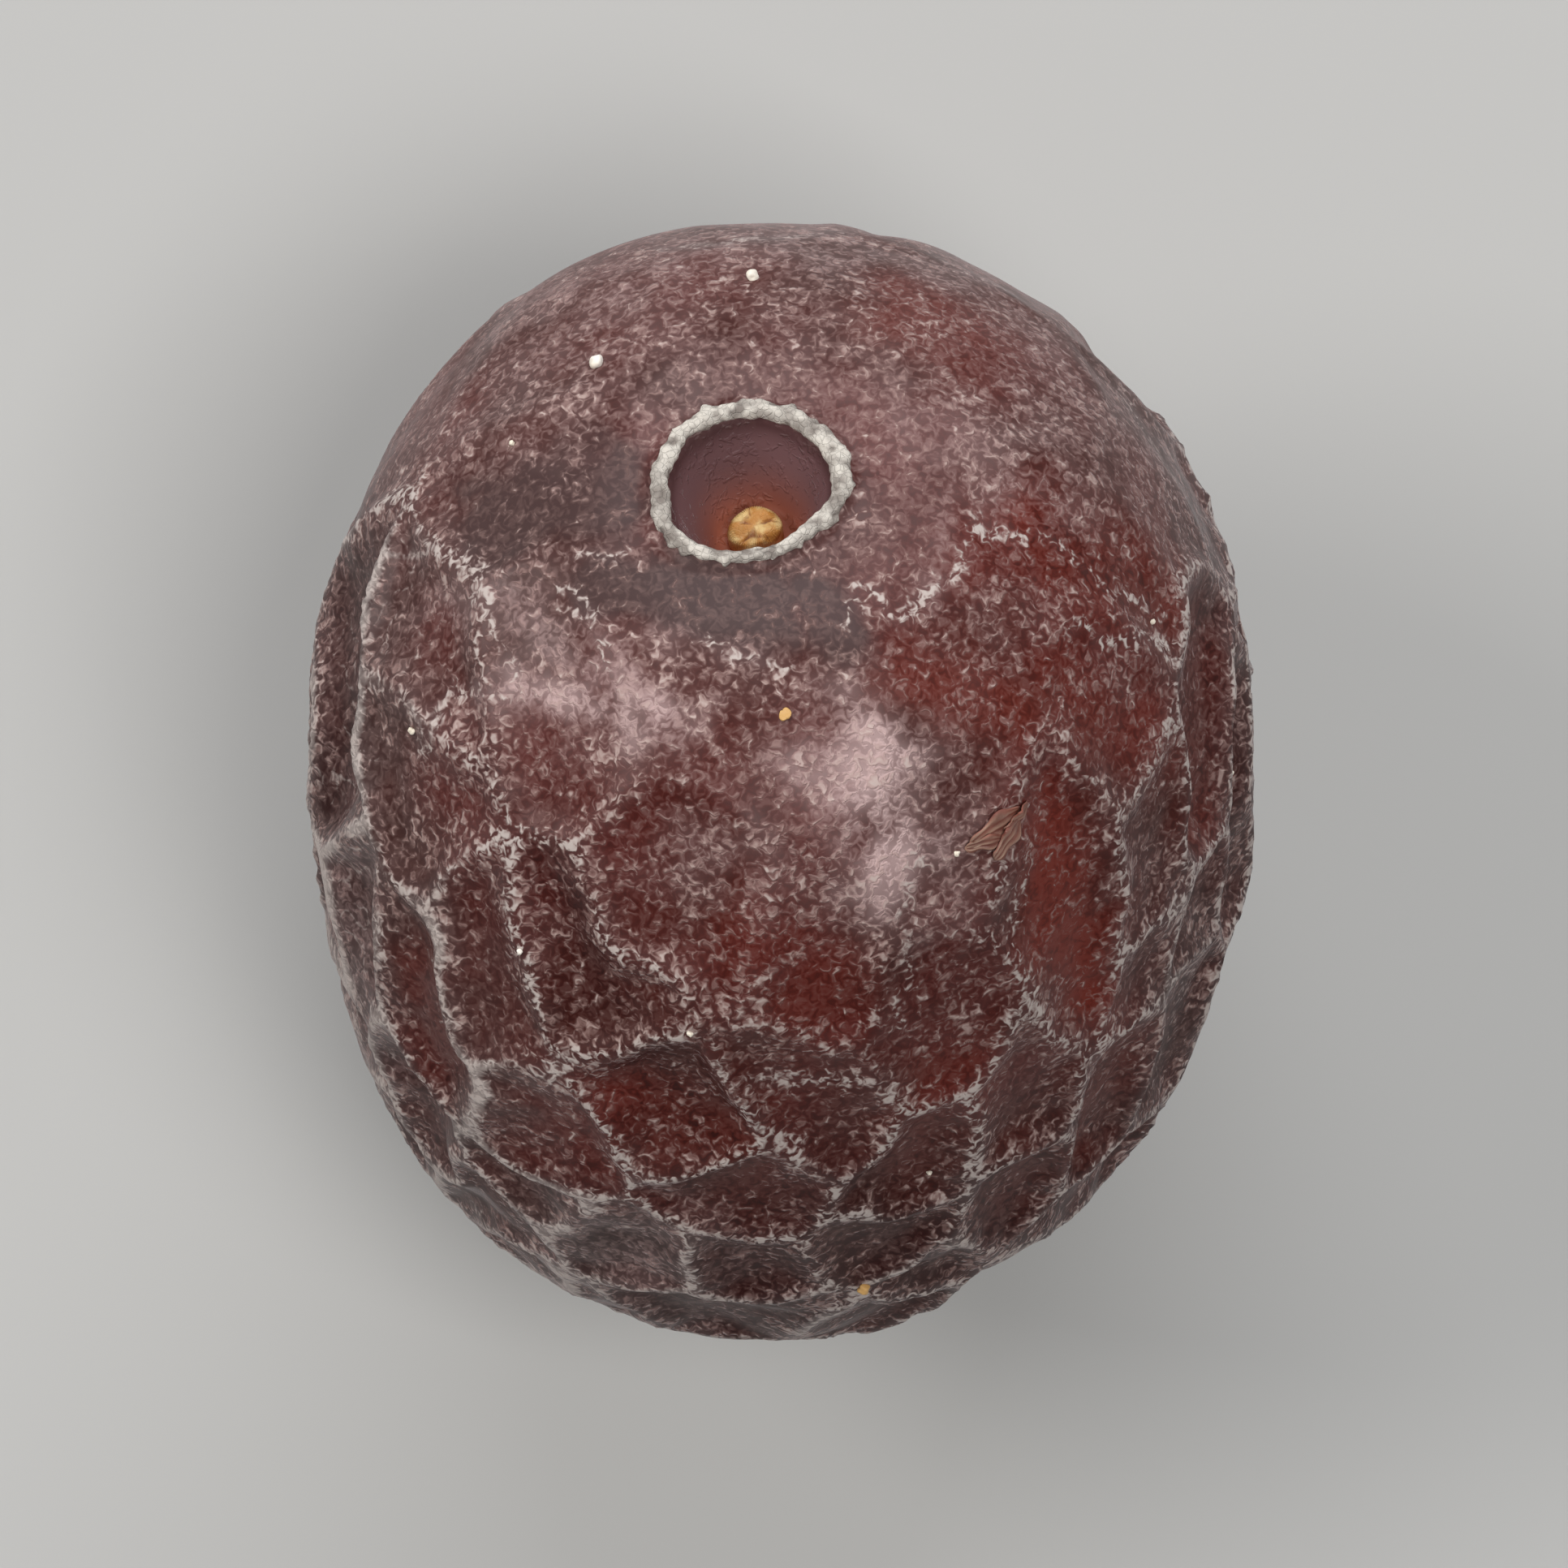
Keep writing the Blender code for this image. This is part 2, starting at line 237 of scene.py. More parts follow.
def rough(points, length, seed=0.0):
    """Smooth noise from -1 to 1 at each point, whose lumps are about length millimetres wide."""
    shift = Vector((seed, -seed, 0.5 * seed))
    return np.array([noise.noise(Vector(point) / length + shift) for point in points])


def patches(points, level, *layers):
    """A number near level at each point, made uneven by layers of noise: size, length and seed."""
    values = np.full(len(points), level)
    for size, length, seed in layers:
        values += size * rough(points, length, seed)
    return values


print("helpers are ready")

# %% [markdown]
# ## The plain body
# Before its wrinkles the fruit is a barrel: rounder than an egg's end and a little deeper than it is
# wide. A power a bit above two in the ellipse's formula gives such a barrel. These numbers repeat the
# solid's, so that the dressed skin lies where the solid does.

# %% Body, stance and where a point seen from above lies on the body
HALF_LENGTH, HALF_WIDTH, HALF_DEPTH = 13.1, 10.3, 11.3
BARREL_POWER = 2.35
LEAN_BACK, LEAN_LEFT = 30.0, 5.2
COLUMN_TOP, COLUMN_STEPS = 1.1 * HALF_LENGTH, 400
TURN = np.array(Euler((math.radians(-LEAN_BACK), math.radians(-LEAN_LEFT), 0.0)).to_matrix())


def body_share(points):
    """1 on the plain body, less inside it, more outside."""
    across = np.hypot(points[:, 0] / HALF_WIDTH, points[:, 1] / HALF_DEPTH)
    return across**BARREL_POWER + np.abs(points[:, 2] / HALF_LENGTH) ** BARREL_POWER


def body_normals(points):
    across = np.maximum(np.hypot(points[:, 0] / HALF_WIDTH, points[:, 1] / HALF_DEPTH), 1e-6)
    side = across ** (BARREL_POWER - 2.0)
    along = np.abs(points[:, 2] / HALF_LENGTH) ** (BARREL_POWER - 1.0) / HALF_LENGTH
    slope_x = side * points[:, 0] / HALF_WIDTH**2
    slope_y = side * points[:, 1] / HALF_DEPTH**2
    slopes = np.stack((slope_x, slope_y, along * np.sign(points[:, 2])), axis=1)
    return slopes / np.linalg.norm(slopes, axis=1, keepdims=True)


def round_the_axis(points):
    """Each point's distance from the fruit's axis, and its angle as on a truly round body."""
    angles = np.arctan2(points[:, 1] / HALF_DEPTH, points[:, 0] / HALF_WIDTH)
    return np.hypot(points[:, 0], points[:, 1]), angles


def seen_to_body(x, y):
    """The point of the plain body's upper side that lies under (x, y) as seen from above."""
    heights = np.linspace(0.0, COLUMN_TOP, COLUMN_STEPS)
    column = np.stack((np.full_like(heights, x), np.full_like(heights, y), heights), axis=1)
    inside = np.flatnonzero(body_share(column @ TURN) <= 1.0)
    return column[inside[-1] if len(inside) else 0] @ TURN


print("stem end, upright frame, leans to", np.round(TURN[:, 2], 3))

# %% [markdown]
# ## The net of the dried skin
# As the flesh dries, the skin folds into ridges round sunken cells. A displacement texture could
# wrinkle it all over, but it couldn't put each fold where this fruit has it. So each cell is one line
# along its bottom. A point belongs to the nearest line, and a ridge stands where two lines are
# equally near. The seen cells are given one by one. The ones on the hidden sides are drawn at random
# from a fixed seed, along a spiral that covers the body.

# %% Cells of the net that are seen from above: from (x, y), to (x, y), depth
SEEN_CELLS = (
    # left flank, from the stem end down
    ((-9.5, 4.2), (-9.7, 0.1), 0.85),
    ((-7.9, 3.7), (-7.6, 2.1), 0.45),
    ((-8.2, 0.7), (-7.6, -1.1), 0.30),
    ((-9.0, -2.4), (-9.0, -5.8), 0.70),
    ((-7.9, -3.4), (-6.9, -5.8), 0.60),
    ((-6.7, -2.8), (-6.2, -5.4), 0.50),
    ((-8.0, -6.1), (-7.1, -8.2), 0.80),
    ((-9.3, -6.0), (-8.5, -7.8), 0.55),
    ((-6.7, -9.0), (-6.4, -8.6), 0.50),
    ((-5.6, -6.4), (-5.2, -7.5), 0.45),
    ((-5.4, -8.4), (-5.2, -8.7), 0.40),
    # middle, from the belly down
    ((-4.9, -3.2), (-4.0, -4.6), 0.50),
    ((-3.2, -6.1), (-2.1, -7.4), 0.85),
    ((-3.0, -2.3), (-1.6, -2.8), 0.25),
    ((-4.1, -9.5), (-3.1, -9.8), 0.55),
    ((-1.2, -10.2), (-0.9, -10.4), 0.45),
    ((-5.2, -11.1), (-4.7, -11.2), 0.55),
    ((-5.6, -10.2), (-5.4, -10.4), 0.40),
    ((-2.4, -11.5), (0.1, -11.7), 0.60),
    ((-1.1, -8.7), (-0.7, -9.0), 0.30),
    ((0.4, -2.9), (0.9, -4.6), 0.25),
    ((2.5, -4.6), (3.4, -6.0), 0.30),
    ((0.2, -6.2), (0.9, -7.6), 0.30),
    ((3.1, -7.9), (2.3, -8.8), 0.55),
    ((2.1, -9.9), (1.8, -10.1), 0.40),
    ((3.5, -10.6), (3.0, -11.0), 0.45),
    ((0.9, -11.8), (2.6, -11.6), 0.55),
    # right flank, from the stem end down
    ((5.5, -0.7), (6.3, -4.7), 0.50),
    ((7.8, -0.7), (8.0, -2.8), 0.40),
    ((7.9, -3.7), (7.8, -4.8), 0.40),
    ((8.9, 3.4), (9.0, -0.5), 0.75),
    ((9.9, 1.3), (10.0, -1.9), 0.55),
    ((9.2, -2.9), (9.3, -3.2), 0.45),
    ((9.1, -4.5), (8.7, -6.2), 0.50),
    ((7.4, -5.9), (6.8, -7.9), 0.75),
    ((5.1, -6.1), (5.2, -7.5), 0.40),
    ((5.3, -8.7), (4.4, -10.1), 0.70),
    ((7.0, -9.1), (5.5, -10.1), 0.50),
    # nearly smooth facets between the net and the stem end
    ((3.4, 0.2), (2.6, -1.6), 0.12),
    ((-5.4, 2.9), (-5.0, 0.9), 0.24),
    ((-1.6, 2.3), (0.6, 1.0), 0.10),
    ((6.4, 2.6), (6.9, 0.9), 0.20),
    ((-6.4, 6.0), (-4.6, 6.7), 0.26),
    ((-5.8, 9.0), (-4.3, 9.9), 0.12),
    ((-1.4, 10.6), (0.4, 10.2), 0.14),
    ((3.6, 9.9), (5.2, 8.4), 0.16),
    ((4.6, 5.0), (7.2, 3.9), 0.22),
    ((2.7, 3.9), (3.4, 2.6), 0.10),
)
print(len(SEEN_CELLS), "cells placed by hand")

# %% Cells on the hidden sides
SPREAD_CELLS, SPREAD_JITTER, CLEAR_OF_SEEN, SEED = 112, 1.25, 2.4, 12
SPREAD_HALF_LENGTHS, SPREAD_DEPTHS, SPREAD_SLANT = (0.2, 2.3), (0.35, 1.0), (-0.4, 0.4)
SPREAD_CALM_ABOVE, SPREAD_CALM = (0.15, 0.55), 0.94


def spread_cells(seen):
    """Cells along a spiral over the body, each point shaken and grown into a line."""
    draw = random.Random(SEED)
    golden_turn = math.pi * (3.0 - math.sqrt(5.0))
    cells = []
    for index in range(SPREAD_CELLS):
        level = 1.0 - 2.0 * (index + 0.5) / SPREAD_CELLS
        ring = math.sqrt(1.0 - level * level)
        turn = golden_turn * index
        x, y = HALF_WIDTH * ring * math.cos(turn), HALF_DEPTH * ring * math.sin(turn)
        place = Vector((x, y, HALF_LENGTH * level))
        place += SPREAD_JITTER * Vector((draw.uniform(-1, 1), draw.uniform(-1, 1), draw.uniform(-1, 1)))
        half = draw.uniform(*SPREAD_HALF_LENGTHS)
        along = Vector((draw.uniform(*SPREAD_SLANT), draw.uniform(*SPREAD_SLANT), 1.0)).normalized()
        depth = draw.uniform(*SPREAD_DEPTHS)
        depth *= 1.0 - SPREAD_CALM * float(smooth_step(*SPREAD_CALM_ABOVE, level))
        if min((place - Vector(point)).length for cell in seen for point in cell[:2]) > CLEAR_OF_SEEN:
            cells.append((np.array(place - along * half), np.array(place + along * half), depth))
    return cells


seen_cells = [(seen_to_body(*start), seen_to_body(*end), depth) for start, end, depth in SEEN_CELLS]
hidden_cells = spread_cells(seen_cells)
cells = seen_cells + hidden_cells
print(len(hidden_cells), "cells on the hidden sides")

# %% [markdown]
# ## From cells to relief
# The relief at a point depends on how far it is from the nearest ridge. Cells are dished, ridges
# stand up between them, and both fade toward the stem, the blossom end and the flat spot. The solid
# has this much. The skin adds what its coarser faces can't hold: a thin, uneven crest on each ridge
# and small wrinkles between the folds.

# %% Distance to the nearest ridge, and how deep the cell is there
DISH_DEPTH, DISH_REACH = 0.62, 1.25
CREST_HEIGHT, CREST_HALF_WIDTH = 0.24, 0.32
RIDGE_ROUNDING, BLEND_REACH = 0.18, 0.55
WAVERS = ((0.42, 1.9), (0.14, 0.8))
# Blender's vector noise starts from the clock unless it has a seed. The solid has this one too.
WAVER_SEED = 1795832515
noise.seed_set(WAVER_SEED)


def distance_to_line(points, start, end):
    run = end - start
    share = np.clip((points - start) @ run / max(float(run @ run), 1e-9), 0.0, 1.0)
    return np.linalg.norm(points - start - share[:, None] * run, axis=1)


def wavered(points):
    """The points shifted a little by noise, so that ridges between cells wander."""
    moved = points.copy()
    for size, length in WAVERS:
        moved += size * np.array([noise.noise_vector(Vector(point) / length) for point in points])
    return moved


def read_net(points):
    """For each point: distance to the nearest ridge, depth of the net there, and the nearest cell."""
    moved = wavered(points)
    reach = np.stack([distance_to_line(moved, start, end) for start, end, _ in cells], axis=1)
    depths = np.array([depth for _, _, depth in cells])
    nearest = np.sort(reach, axis=1)[:, :2]
    to_ridge = 0.5 * (nearest[:, 1] - nearest[:, 0])
    weights = np.exp(-(reach - nearest[:, :1]) / BLEND_REACH)
    return to_ridge, (weights * depths).sum(axis=1) / weights.sum(axis=1), reach.argmin(axis=1)


# %% Where the net fades, and the relief itself
NET_START, NET_FULL = 13.0, 24.0
BLOSSOM_CALM, BLOSSOM_FULL = 7.0, 17.0
FLAT_CALM_RADIUS, FLAT_CALM_START, FLAT_CALM_END = 3.6, 0.7, 1.15
LUMP_HEIGHT, LUMP_LENGTH = 0.28, 7.5
OUTLINE_WAVES = ((1, 0.31, 166.0), (2, 0.25, 47.5), (3, 0.19, 8.0), (4, 0.07, -41.0))


def net_share(points):
    """Where the net shows: not at the two ends, and not where the skin is pressed flat."""
    from_stem = np.degrees(np.arccos(np.clip(points[:, 2] / np.linalg.norm(points, axis=1), -1.0, 1.0)))
    down = np.array([0.0, 0.0, -1.0]) @ TURN
    below = points @ down
    off_centre = np.linalg.norm(points - below[:, None] * down, axis=1)
    start, end = FLAT_CALM_START * FLAT_CALM_RADIUS, FLAT_CALM_END * FLAT_CALM_RADIUS
    calm = (1.0 - smooth_step(start, end, off_centre)) * (below > 0.0)
    past_stem = smooth_step(NET_START, NET_FULL, from_stem)
    past_blossom = smooth_step(BLOSSOM_CALM, BLOSSOM_FULL, 180.0 - from_stem)
    return past_stem * past_blossom * (1.0 - calm)


def net_relief(to_ridge, depth):
    rounded = np.hypot(to_ridge, RIDGE_ROUNDING) - RIDGE_ROUNDING
    dish = 1.0 - (1.0 - np.clip(rounded / DISH_REACH, 0.0, 1.0)) ** 2
    return depth * (CREST_HEIGHT * np.exp(-((rounded / CREST_HALF_WIDTH) ** 2)) - DISH_DEPTH * dish)


def outline_relief(points, normals):
    """Swells and flats round the outline seen from above, which fade toward the top and the bottom."""
    standing = points @ TURN.T
    around = np.degrees(np.arctan2(standing[:, 1], standing[:, 0]))
    swells = [height * np.cos(np.radians(waves * (around - peak))) for waves, height, peak in OUTLINE_WAVES]
    lift = sum(swells)
    return lift * (1.0 - (normals @ TURN[2]) ** 2) ** 2


# %% Fine wrinkles that only the dressed skin has
FINE_CREST_HEIGHT, FINE_CREST_HALF_WIDTH, FINE_CREST_DEPTHS = 0.075, 0.13, (0.12, 0.5)
FINE_CREST_LEVEL, FINE_CREST_NOISE = 0.55, (0.9, 0.7, 3.0)
WRINKLE_HEIGHT, WRINKLE_LENGTH, WRINKLE_STRETCH, WRINKLE_DEPTHS = 0.075, 0.90, 0.60, (0.15, 0.5)
WRINKLE_LEVEL, WRINKLE_NOISE = 0.35, (0.9, 3.2, 7.0)
WRINKLE_BEND, WRINKLE_BEND_LENGTH, WRINKLE_GAP = 0.35, 1.1, 0.42


def wrinkle_pattern(points):
    """0 to 1: small creased cells, longer along the fruit than across it."""
    bend = np.array([noise.noise_vector(Vector(point) / WRINKLE_BEND_LENGTH) for point in points])
    bent = (points + WRINKLE_BEND * bend) * np.array((1.0, 1.0, WRINKLE_STRETCH)) / WRINKLE_LENGTH
    gaps = np.empty(len(points))
    for index, point in enumerate(bent):
        distances, _ = noise.voronoi(Vector(point))
        gaps[index] = distances[1] - distances[0]
    return 1.0 - np.clip(gaps / WRINKLE_GAP, 0.0, 1.0)


def fine_relief(points, to_ridge, depth):
    uneven = np.clip(patches(points, FINE_CREST_LEVEL, FINE_CREST_NOISE), 0.0, 1.0)
    crest = FINE_CREST_HEIGHT * uneven * np.exp(-((to_ridge / FINE_CREST_HALF_WIDTH) ** 2))
    crest *= smooth_step(*FINE_CREST_DEPTHS, depth)
    where = np.clip(patches(points, WRINKLE_LEVEL, WRINKLE_NOISE), 0.0, 1.0)
    where *= smooth_step(*WRINKLE_DEPTHS, depth)
    return crest + WRINKLE_HEIGHT * where * wrinkle_pattern(points)


print("relief is defined")

# %% [markdown]
# ## Stem end and blossom end
# The stem end sinks in a shallow basin, and its corky ring surrounds a bowl-shaped pit where the
# stalk sat. The blossom end has a soft dimple. Both are offsets along the fruit's axis.

# %% Offsets along the axis
BASIN_DEPTH, BASIN_RADIUS = 0.75, 3.6
RING_RADIUS, RING_HEIGHT, RING_HALF_WIDTH = 1.95, 0.2, 0.22
PIT_DEPTH, PIT_RADIUS, PIT_FLOOR = 2.0, 1.84, 0.75
RING_WAVES = ((2, 0.035, 0.4), (3, 0.025, 1.7), (5, 0.014, 0.9))
DIMPLE_DEPTH, DIMPLE_RADIUS = 0.9, 2.3


def ring_scale(angles):
    """How far the ring and the pit depart from a true circle at each angle round the stem."""
    return 1.0 + sum(size * np.sin(waves * angles + phase) for waves, size, phase in RING_WAVES)


def stem_offset(radii, angles):
    across = radii / ring_scale(angles)
    basin = -BASIN_DEPTH * np.exp(-((radii / BASIN_RADIUS) ** 2))
    ring = RING_HEIGHT * np.exp(-(((across - RING_RADIUS) / RING_HALF_WIDTH) ** 2))
    return basin + ring - PIT_DEPTH * (1.0 - smooth_step(PIT_FLOOR, PIT_RADIUS, across))


def blossom_offset(radii):
    return DIMPLE_DEPTH * np.exp(-((radii / DIMPLE_RADIUS) ** 2))


def dress(plain):
    """Moves points of the plain body to the dried skin, and also gives the net that they were given."""
    normals = body_normals(plain)
    to_ridge, depth, nearest_cell = read_net(plain)
    share = net_share(plain)
    lift = (net_relief(to_ridge, depth) + fine_relief(plain, to_ridge, depth)) * share
    lift += LUMP_HEIGHT * rough(plain, LUMP_LENGTH) + outline_relief(plain, normals)
    points = plain + normals * lift[:, None]
    radii, angles = round_the_axis(plain)
    upper = plain[:, 2] > 0.0
    points[:, 2] += np.where(upper, stem_offset(radii, angles), blossom_offset(radii))
    return points, to_ridge, depth * share, nearest_cell


print("stem pit is", PIT_DEPTH, "mm deep and its ring", 2 * RING_RADIUS, "mm across")

# %% [markdown]
# ## The skin
# A sphere primitive crowds its points at the poles and is coarse where the stem pit needs detail. So
# the skin starts as a circle, halved, whose points are slid to an even spacing down the fruit's side,
# closer together in the pit. Spinning that half round the axis gives the whole skin in even rings.

# %% Spin half a circle into the plain body
SPIN_STEPS, PROFILE_POINTS = 384, 6000
STEM_STEP, SKIN_STEP, STEM_END_RADIUS = 0.085, 0.172, 2.8


def side_profile():
    """(distance from the axis, height) down the plain body's side, in millimetres."""
    turns = np.linspace(0.0, math.pi, PROFILE_POINTS)
    across = HALF_WIDTH * np.sin(turns) ** (2.0 / BARREL_POWER)
    heights = np.sign(np.cos(turns)) * np.abs(np.cos(turns)) ** (2.0 / BARREL_POWER) * HALF_LENGTH
    run = np.concatenate(([0.0], np.cumsum(np.hypot(np.diff(across), np.diff(heights)))))
    fine = np.arange(0.0, STEM_END_RADIUS, STEM_STEP)
    coarse = np.linspace(STEM_END_RADIUS, run[-1], int((run[-1] - STEM_END_RADIUS) / SKIN_STEP))
    picks = np.concatenate((fine, coarse))
    across, heights = np.interp(picks, run, across), np.interp(picks, run, heights)
    across[0] = across[-1] = 0.0
    return across, heights


def spin_plain_body():
    across, heights = side_profile()
    half = len(across) - 1
    bpy.ops.object.select_all(action="DESELECT")
    bpy.ops.mesh.primitive_circle_add(
        vertices=2 * half, radius=HALF_LENGTH * MM, rotation=(math.pi / 2, 0.0, 0.0)
    )
    skin = start_piece("fruit_skin")
    edit("DESELECT")
    done()
    for vertex in skin.data.vertices:
        vertex.select = vertex.co.x < -1e-6
    bpy.ops.object.mode_set(mode="EDIT")
    bpy.ops.mesh.delete(type="VERT")
    done()
    order = np.argsort([-vertex.co.z for vertex in skin.data.vertices])
    for rank, index in enumerate(order):
        skin.data.vertices[index].co = (across[rank] * MM, 0.0, heights[rank] * MM)
    edit()
    bpy.ops.mesh.spin(steps=SPIN_STEPS, angle=2.0 * math.pi, center=(0.0, 0.0, 0.0), axis=(0.0, 0.0, 1.0))
    bpy.ops.mesh.select_all(action="SELECT")
    bpy.ops.transform.resize(value=(1.0, HALF_DEPTH / HALF_WIDTH, 1.0), center_override=(0.0, 0.0, 0.0))
    done()
    close_shape(skin)
    return skin


fruit_skin = spin_plain_body()
plain_points = points_of(fruit_skin)
print("plain body:", len(plain_points), "points,", count_triangles(fruit_skin), "triangles")

# %% [markdown]
# ## Standing it where the solid stands
# Every piece is shaped in the upright frame and then stood up by one rule: turned to its lean, shrunk
# by a hair so that it stays inside the solid's box, and moved until its sides and top meet the box.
# Points under the base are pressed up to it, which gives the flat spot.

# %% Dress the skin and find the rule
BOX_CLEARANCE, HAIR_SMALLER = 0.005, 0.9995
dressed_points, to_ridge, net_depth, nearest_cell = dress(plain_points)
leaning = dressed_points @ TURN.T
lean_low, lean_high = leaning.min(axis=0), leaning.max(axis=0)
lean_middle = 0.5 * (lean_low + lean_high)
room = (cad_high - cad_low)[:2] / (lean_high - lean_low)[:2]
FIT = float(min(1.0, room.min())) * HAIR_SMALLER
SHIFT = np.array((0.0, 0.0, cad_high[2] - BOX_CLEARANCE))
SHIFT -= FIT * np.array((lean_middle[0], lean_middle[1], lean_high[2]))


def stand(points):
    return np.asarray(points) @ TURN.T * FIT + SHIFT


standing_points = stand(dressed_points)
standing_points[:, 2] = np.maximum(standing_points[:, 2], 0.0)
move_points(fruit_skin, standing_points)
skin_tree = BVHTree.FromPolygons(
    [Vector(point) for point in dressed_points], [tuple(face.vertices) for face in fruit_skin.data.polygons]
)
print("shrunk to", round(FIT, 4), "and moved by", np.round(SHIFT, 2), "mm")

# %% [markdown]
# ## Where the skin is red, hazy or dark, and where light and shade are painted
# Finish follows form here: dust lies on ridges, cells are redder and glossier. Noise alone can't put
# the ruddy cheek, the grey haze or the fine veins where this fruit has them, so soft strokes are laid
# on, as with a brush, their edges frayed by noise, and a number for each point is stored on the mesh.
# On the hidden sides each cell gets its own redness.
# The strokes also paint light and shade: soft highlights where the windows reflect, a paler top edge, a pale
# sheen just inside the outline, and shade on the flanks and the belly.

# %% Soft strokes as seen from above: from (x, y), to (x, y), half width, strength
RED_STROKES = (
    ((5.6, -0.9), (6.3, -4.6), 0.85, 1.00),
    ((4.9, 5.0), (7.4, 4.0), 1.15, 0.75),
    ((5.6, 2.2), (7.6, 0.8), 1.10, 0.55),
    ((2.4, 2.4), (4.4, 1.4), 0.90, 0.55),
    ((2.2, 10.2), (4.0, 9.6), 0.90, 0.45),
    ((-3.2, -6.8), (-0.6, -8.3), 1.15, 0.55),
    ((-0.4, -3.2), (0.6, -4.8), 1.20, 0.35),
    ((7.5, -5.9), (6.7, -7.9), 0.90, 0.60),
    ((3.4, -6.4), (2.4, -8.6), 1.00, 0.50),
    ((8.9, 3.2), (9.1, -1.0), 0.70, 0.50),
    ((-7.8, -3.6), (-7.1, -5.4), 0.50, 0.40),
    ((5.2, -8.6), (4.4, -10.0), 0.80, 0.40),
)
# Grey haze of bloom, and painted highlights: soft pale patches where the windows reflect, and a paler band
# along the top edge, where the light falls.
HAZE_AND_HIGHLIGHT_STROKES = (
    ((-6.9, 3.9), (-4.6, 2.9), 0.75, 0.50),
    ((-5.8, 1.8), (-2.7, 1.2), 0.52, 1.35),
    ((-4.0, 2.4), (-3.4, 1.7), 0.45, 0.80),
    ((2.4, 7.8), (5.2, 6.4), 1.30, 0.30),
    ((1.5, 0.2), (1.9, -1.6), 1.10, 1.90),
    ((2.1, -1.6), (2.0, -2.8), 0.45, 0.40),
    ((-6.0, 10.0), (-1.0, 12.2), 0.60, 0.35),
    ((-1.0, 12.2), (4.5, 10.9), 0.60, 0.38),
    ((4.5, 10.9), (8.2, 6.6), 0.60, 0.28),
    ((-2.8, 3.5), (-0.6, 2.9), 0.50, 0.25),
    ((-5.6, 9.2), (-3.0, 10.6), 0.90, 0.25),
    ((3.4, 5.6), (2.9, 4.4), 0.50, 0.35),
    ((3.6, -2.2), (3.0, -3.4), 0.60, 0.28),
    ((-1.0, -1.2), (-0.8, -2.4), 0.55, 0.22),
    ((-4.6, -9.4), (-2.8, -10.4), 1.30, 0.25),
    ((-9.6, -2.0), (-9.0, -6.8), 0.60, 0.30),
    ((-6.0, 7.6), (6.0, 8.2), 3.00, 0.17),
    ((-2.0, -1.6), (-0.6, -2.2), 1.20, 0.20),
)
LACE_STROKES = (
    ((-9.6, 4.6), (-9.9, 0.6), 0.7, 0.85),
    ((-8.3, 5.0), (-8.9, 2.2), 0.5, 0.85),
    ((-8.9, 2.2), (-9.0, -0.6), 0.5, 0.85),
    ((-9.7, 0.6), (-9.0, -6.6), 0.9, 1.00),
    ((-8.6, -7.6), (-5.2, -10.6), 0.9, 0.90),
    ((-7.6, -2.6), (-6.2, -6.8), 0.9, 0.75),
    ((-4.6, -11.0), (0.6, -12.0), 0.7, 0.65),
    ((-7.9, 2.8), (-8.2, -0.6), 0.6, 0.50),
    ((-5.6, -8.6), (-3.0, -10.0), 0.9, 0.60),
    ((8.7, 5.0), (9.6, 0.4), 0.5, 0.35),
    ((9.4, -2.6), (7.6, -8.6), 0.6, 0.45),
    ((2.2, -10.6), (5.0, -10.2), 0.6, 0.40),
)
# Painted sheen: thin pale lines just inside the outline seen from above, where the bloom catches the light at
# grazing angles.
RIM_SHEEN_STROKES = (
    ((-9.95, 4.6), (-10.25, 1.6), 0.09, 0.60),
    ((-10.25, 1.6), (-10.35, -1.4), 0.09, 0.80),
    ((-10.35, -1.4), (-9.60, -6.0), 0.10, 1.00),
    ((-9.60, -6.0), (-7.30, -9.7), 0.10, 0.90),
    ((-7.30, -9.7), (-3.60, -12.0), 0.10, 0.80),
    ((-3.60, -12.0), (0.80, -12.3), 0.08, 0.50),
    ((-3.0, 11.6), (1.8, 12.2), 0.08, 0.55),
    ((1.8, 12.2), (6.4, 9.8), 0.08, 0.55),
    ((6.4, 9.8), (9.6, 4.4), 0.08, 0.55),
    ((9.6, 4.4), (10.2, -1.0), 0.08, 0.60),
    ((10.2, -1.0), (8.6, -7.0), 0.08, 0.50),
)
DARK_STROKES = (
    ((-6.6, 5.6), (-3.9, 6.6), 1.10, 0.90),
    ((-3.9, 4.2), (-0.8, 3.9), 0.95, 1.10),
    ((0.4, 3.9), (1.2, 2.9), 0.70, 0.90),
    ((-9.4, 4.4), (-9.6, 0.4), 0.50, 0.45),
)
# Painted shade where less light falls, on the flanks, the belly and the bottom, and a darker brown tone on a
# few cells.
SHADE_STROKES = (
    ((-5.2, -1.8), (-4.4, -4.6), 1.00, 0.50),
    ((-3.2, -5.8), (-1.4, -8.2), 1.10, 0.45),
    ((-7.4, -6.6), (-6.6, -8.2), 0.60, 0.45),
    ((-9.4, 4.2), (-9.6, 0.6), 0.45, 0.75),
    ((5.6, -8.0), (7.6, -6.4), 1.00, 0.35),
    ((8.9, 2.6), (9.1, -1.2), 0.60, 0.30),
    ((-4.6, -10.6), (5.0, -10.8), 1.20, 0.35),
    ((5.4, 4.9), (7.2, 4.0), 0.80, 0.32),
    ((-6.7, 0.7), (-5.9, -0.5), 0.70, 0.45),
    ((-9.0, -2.8), (-8.8, -5.4), 0.45, 0.35),
)
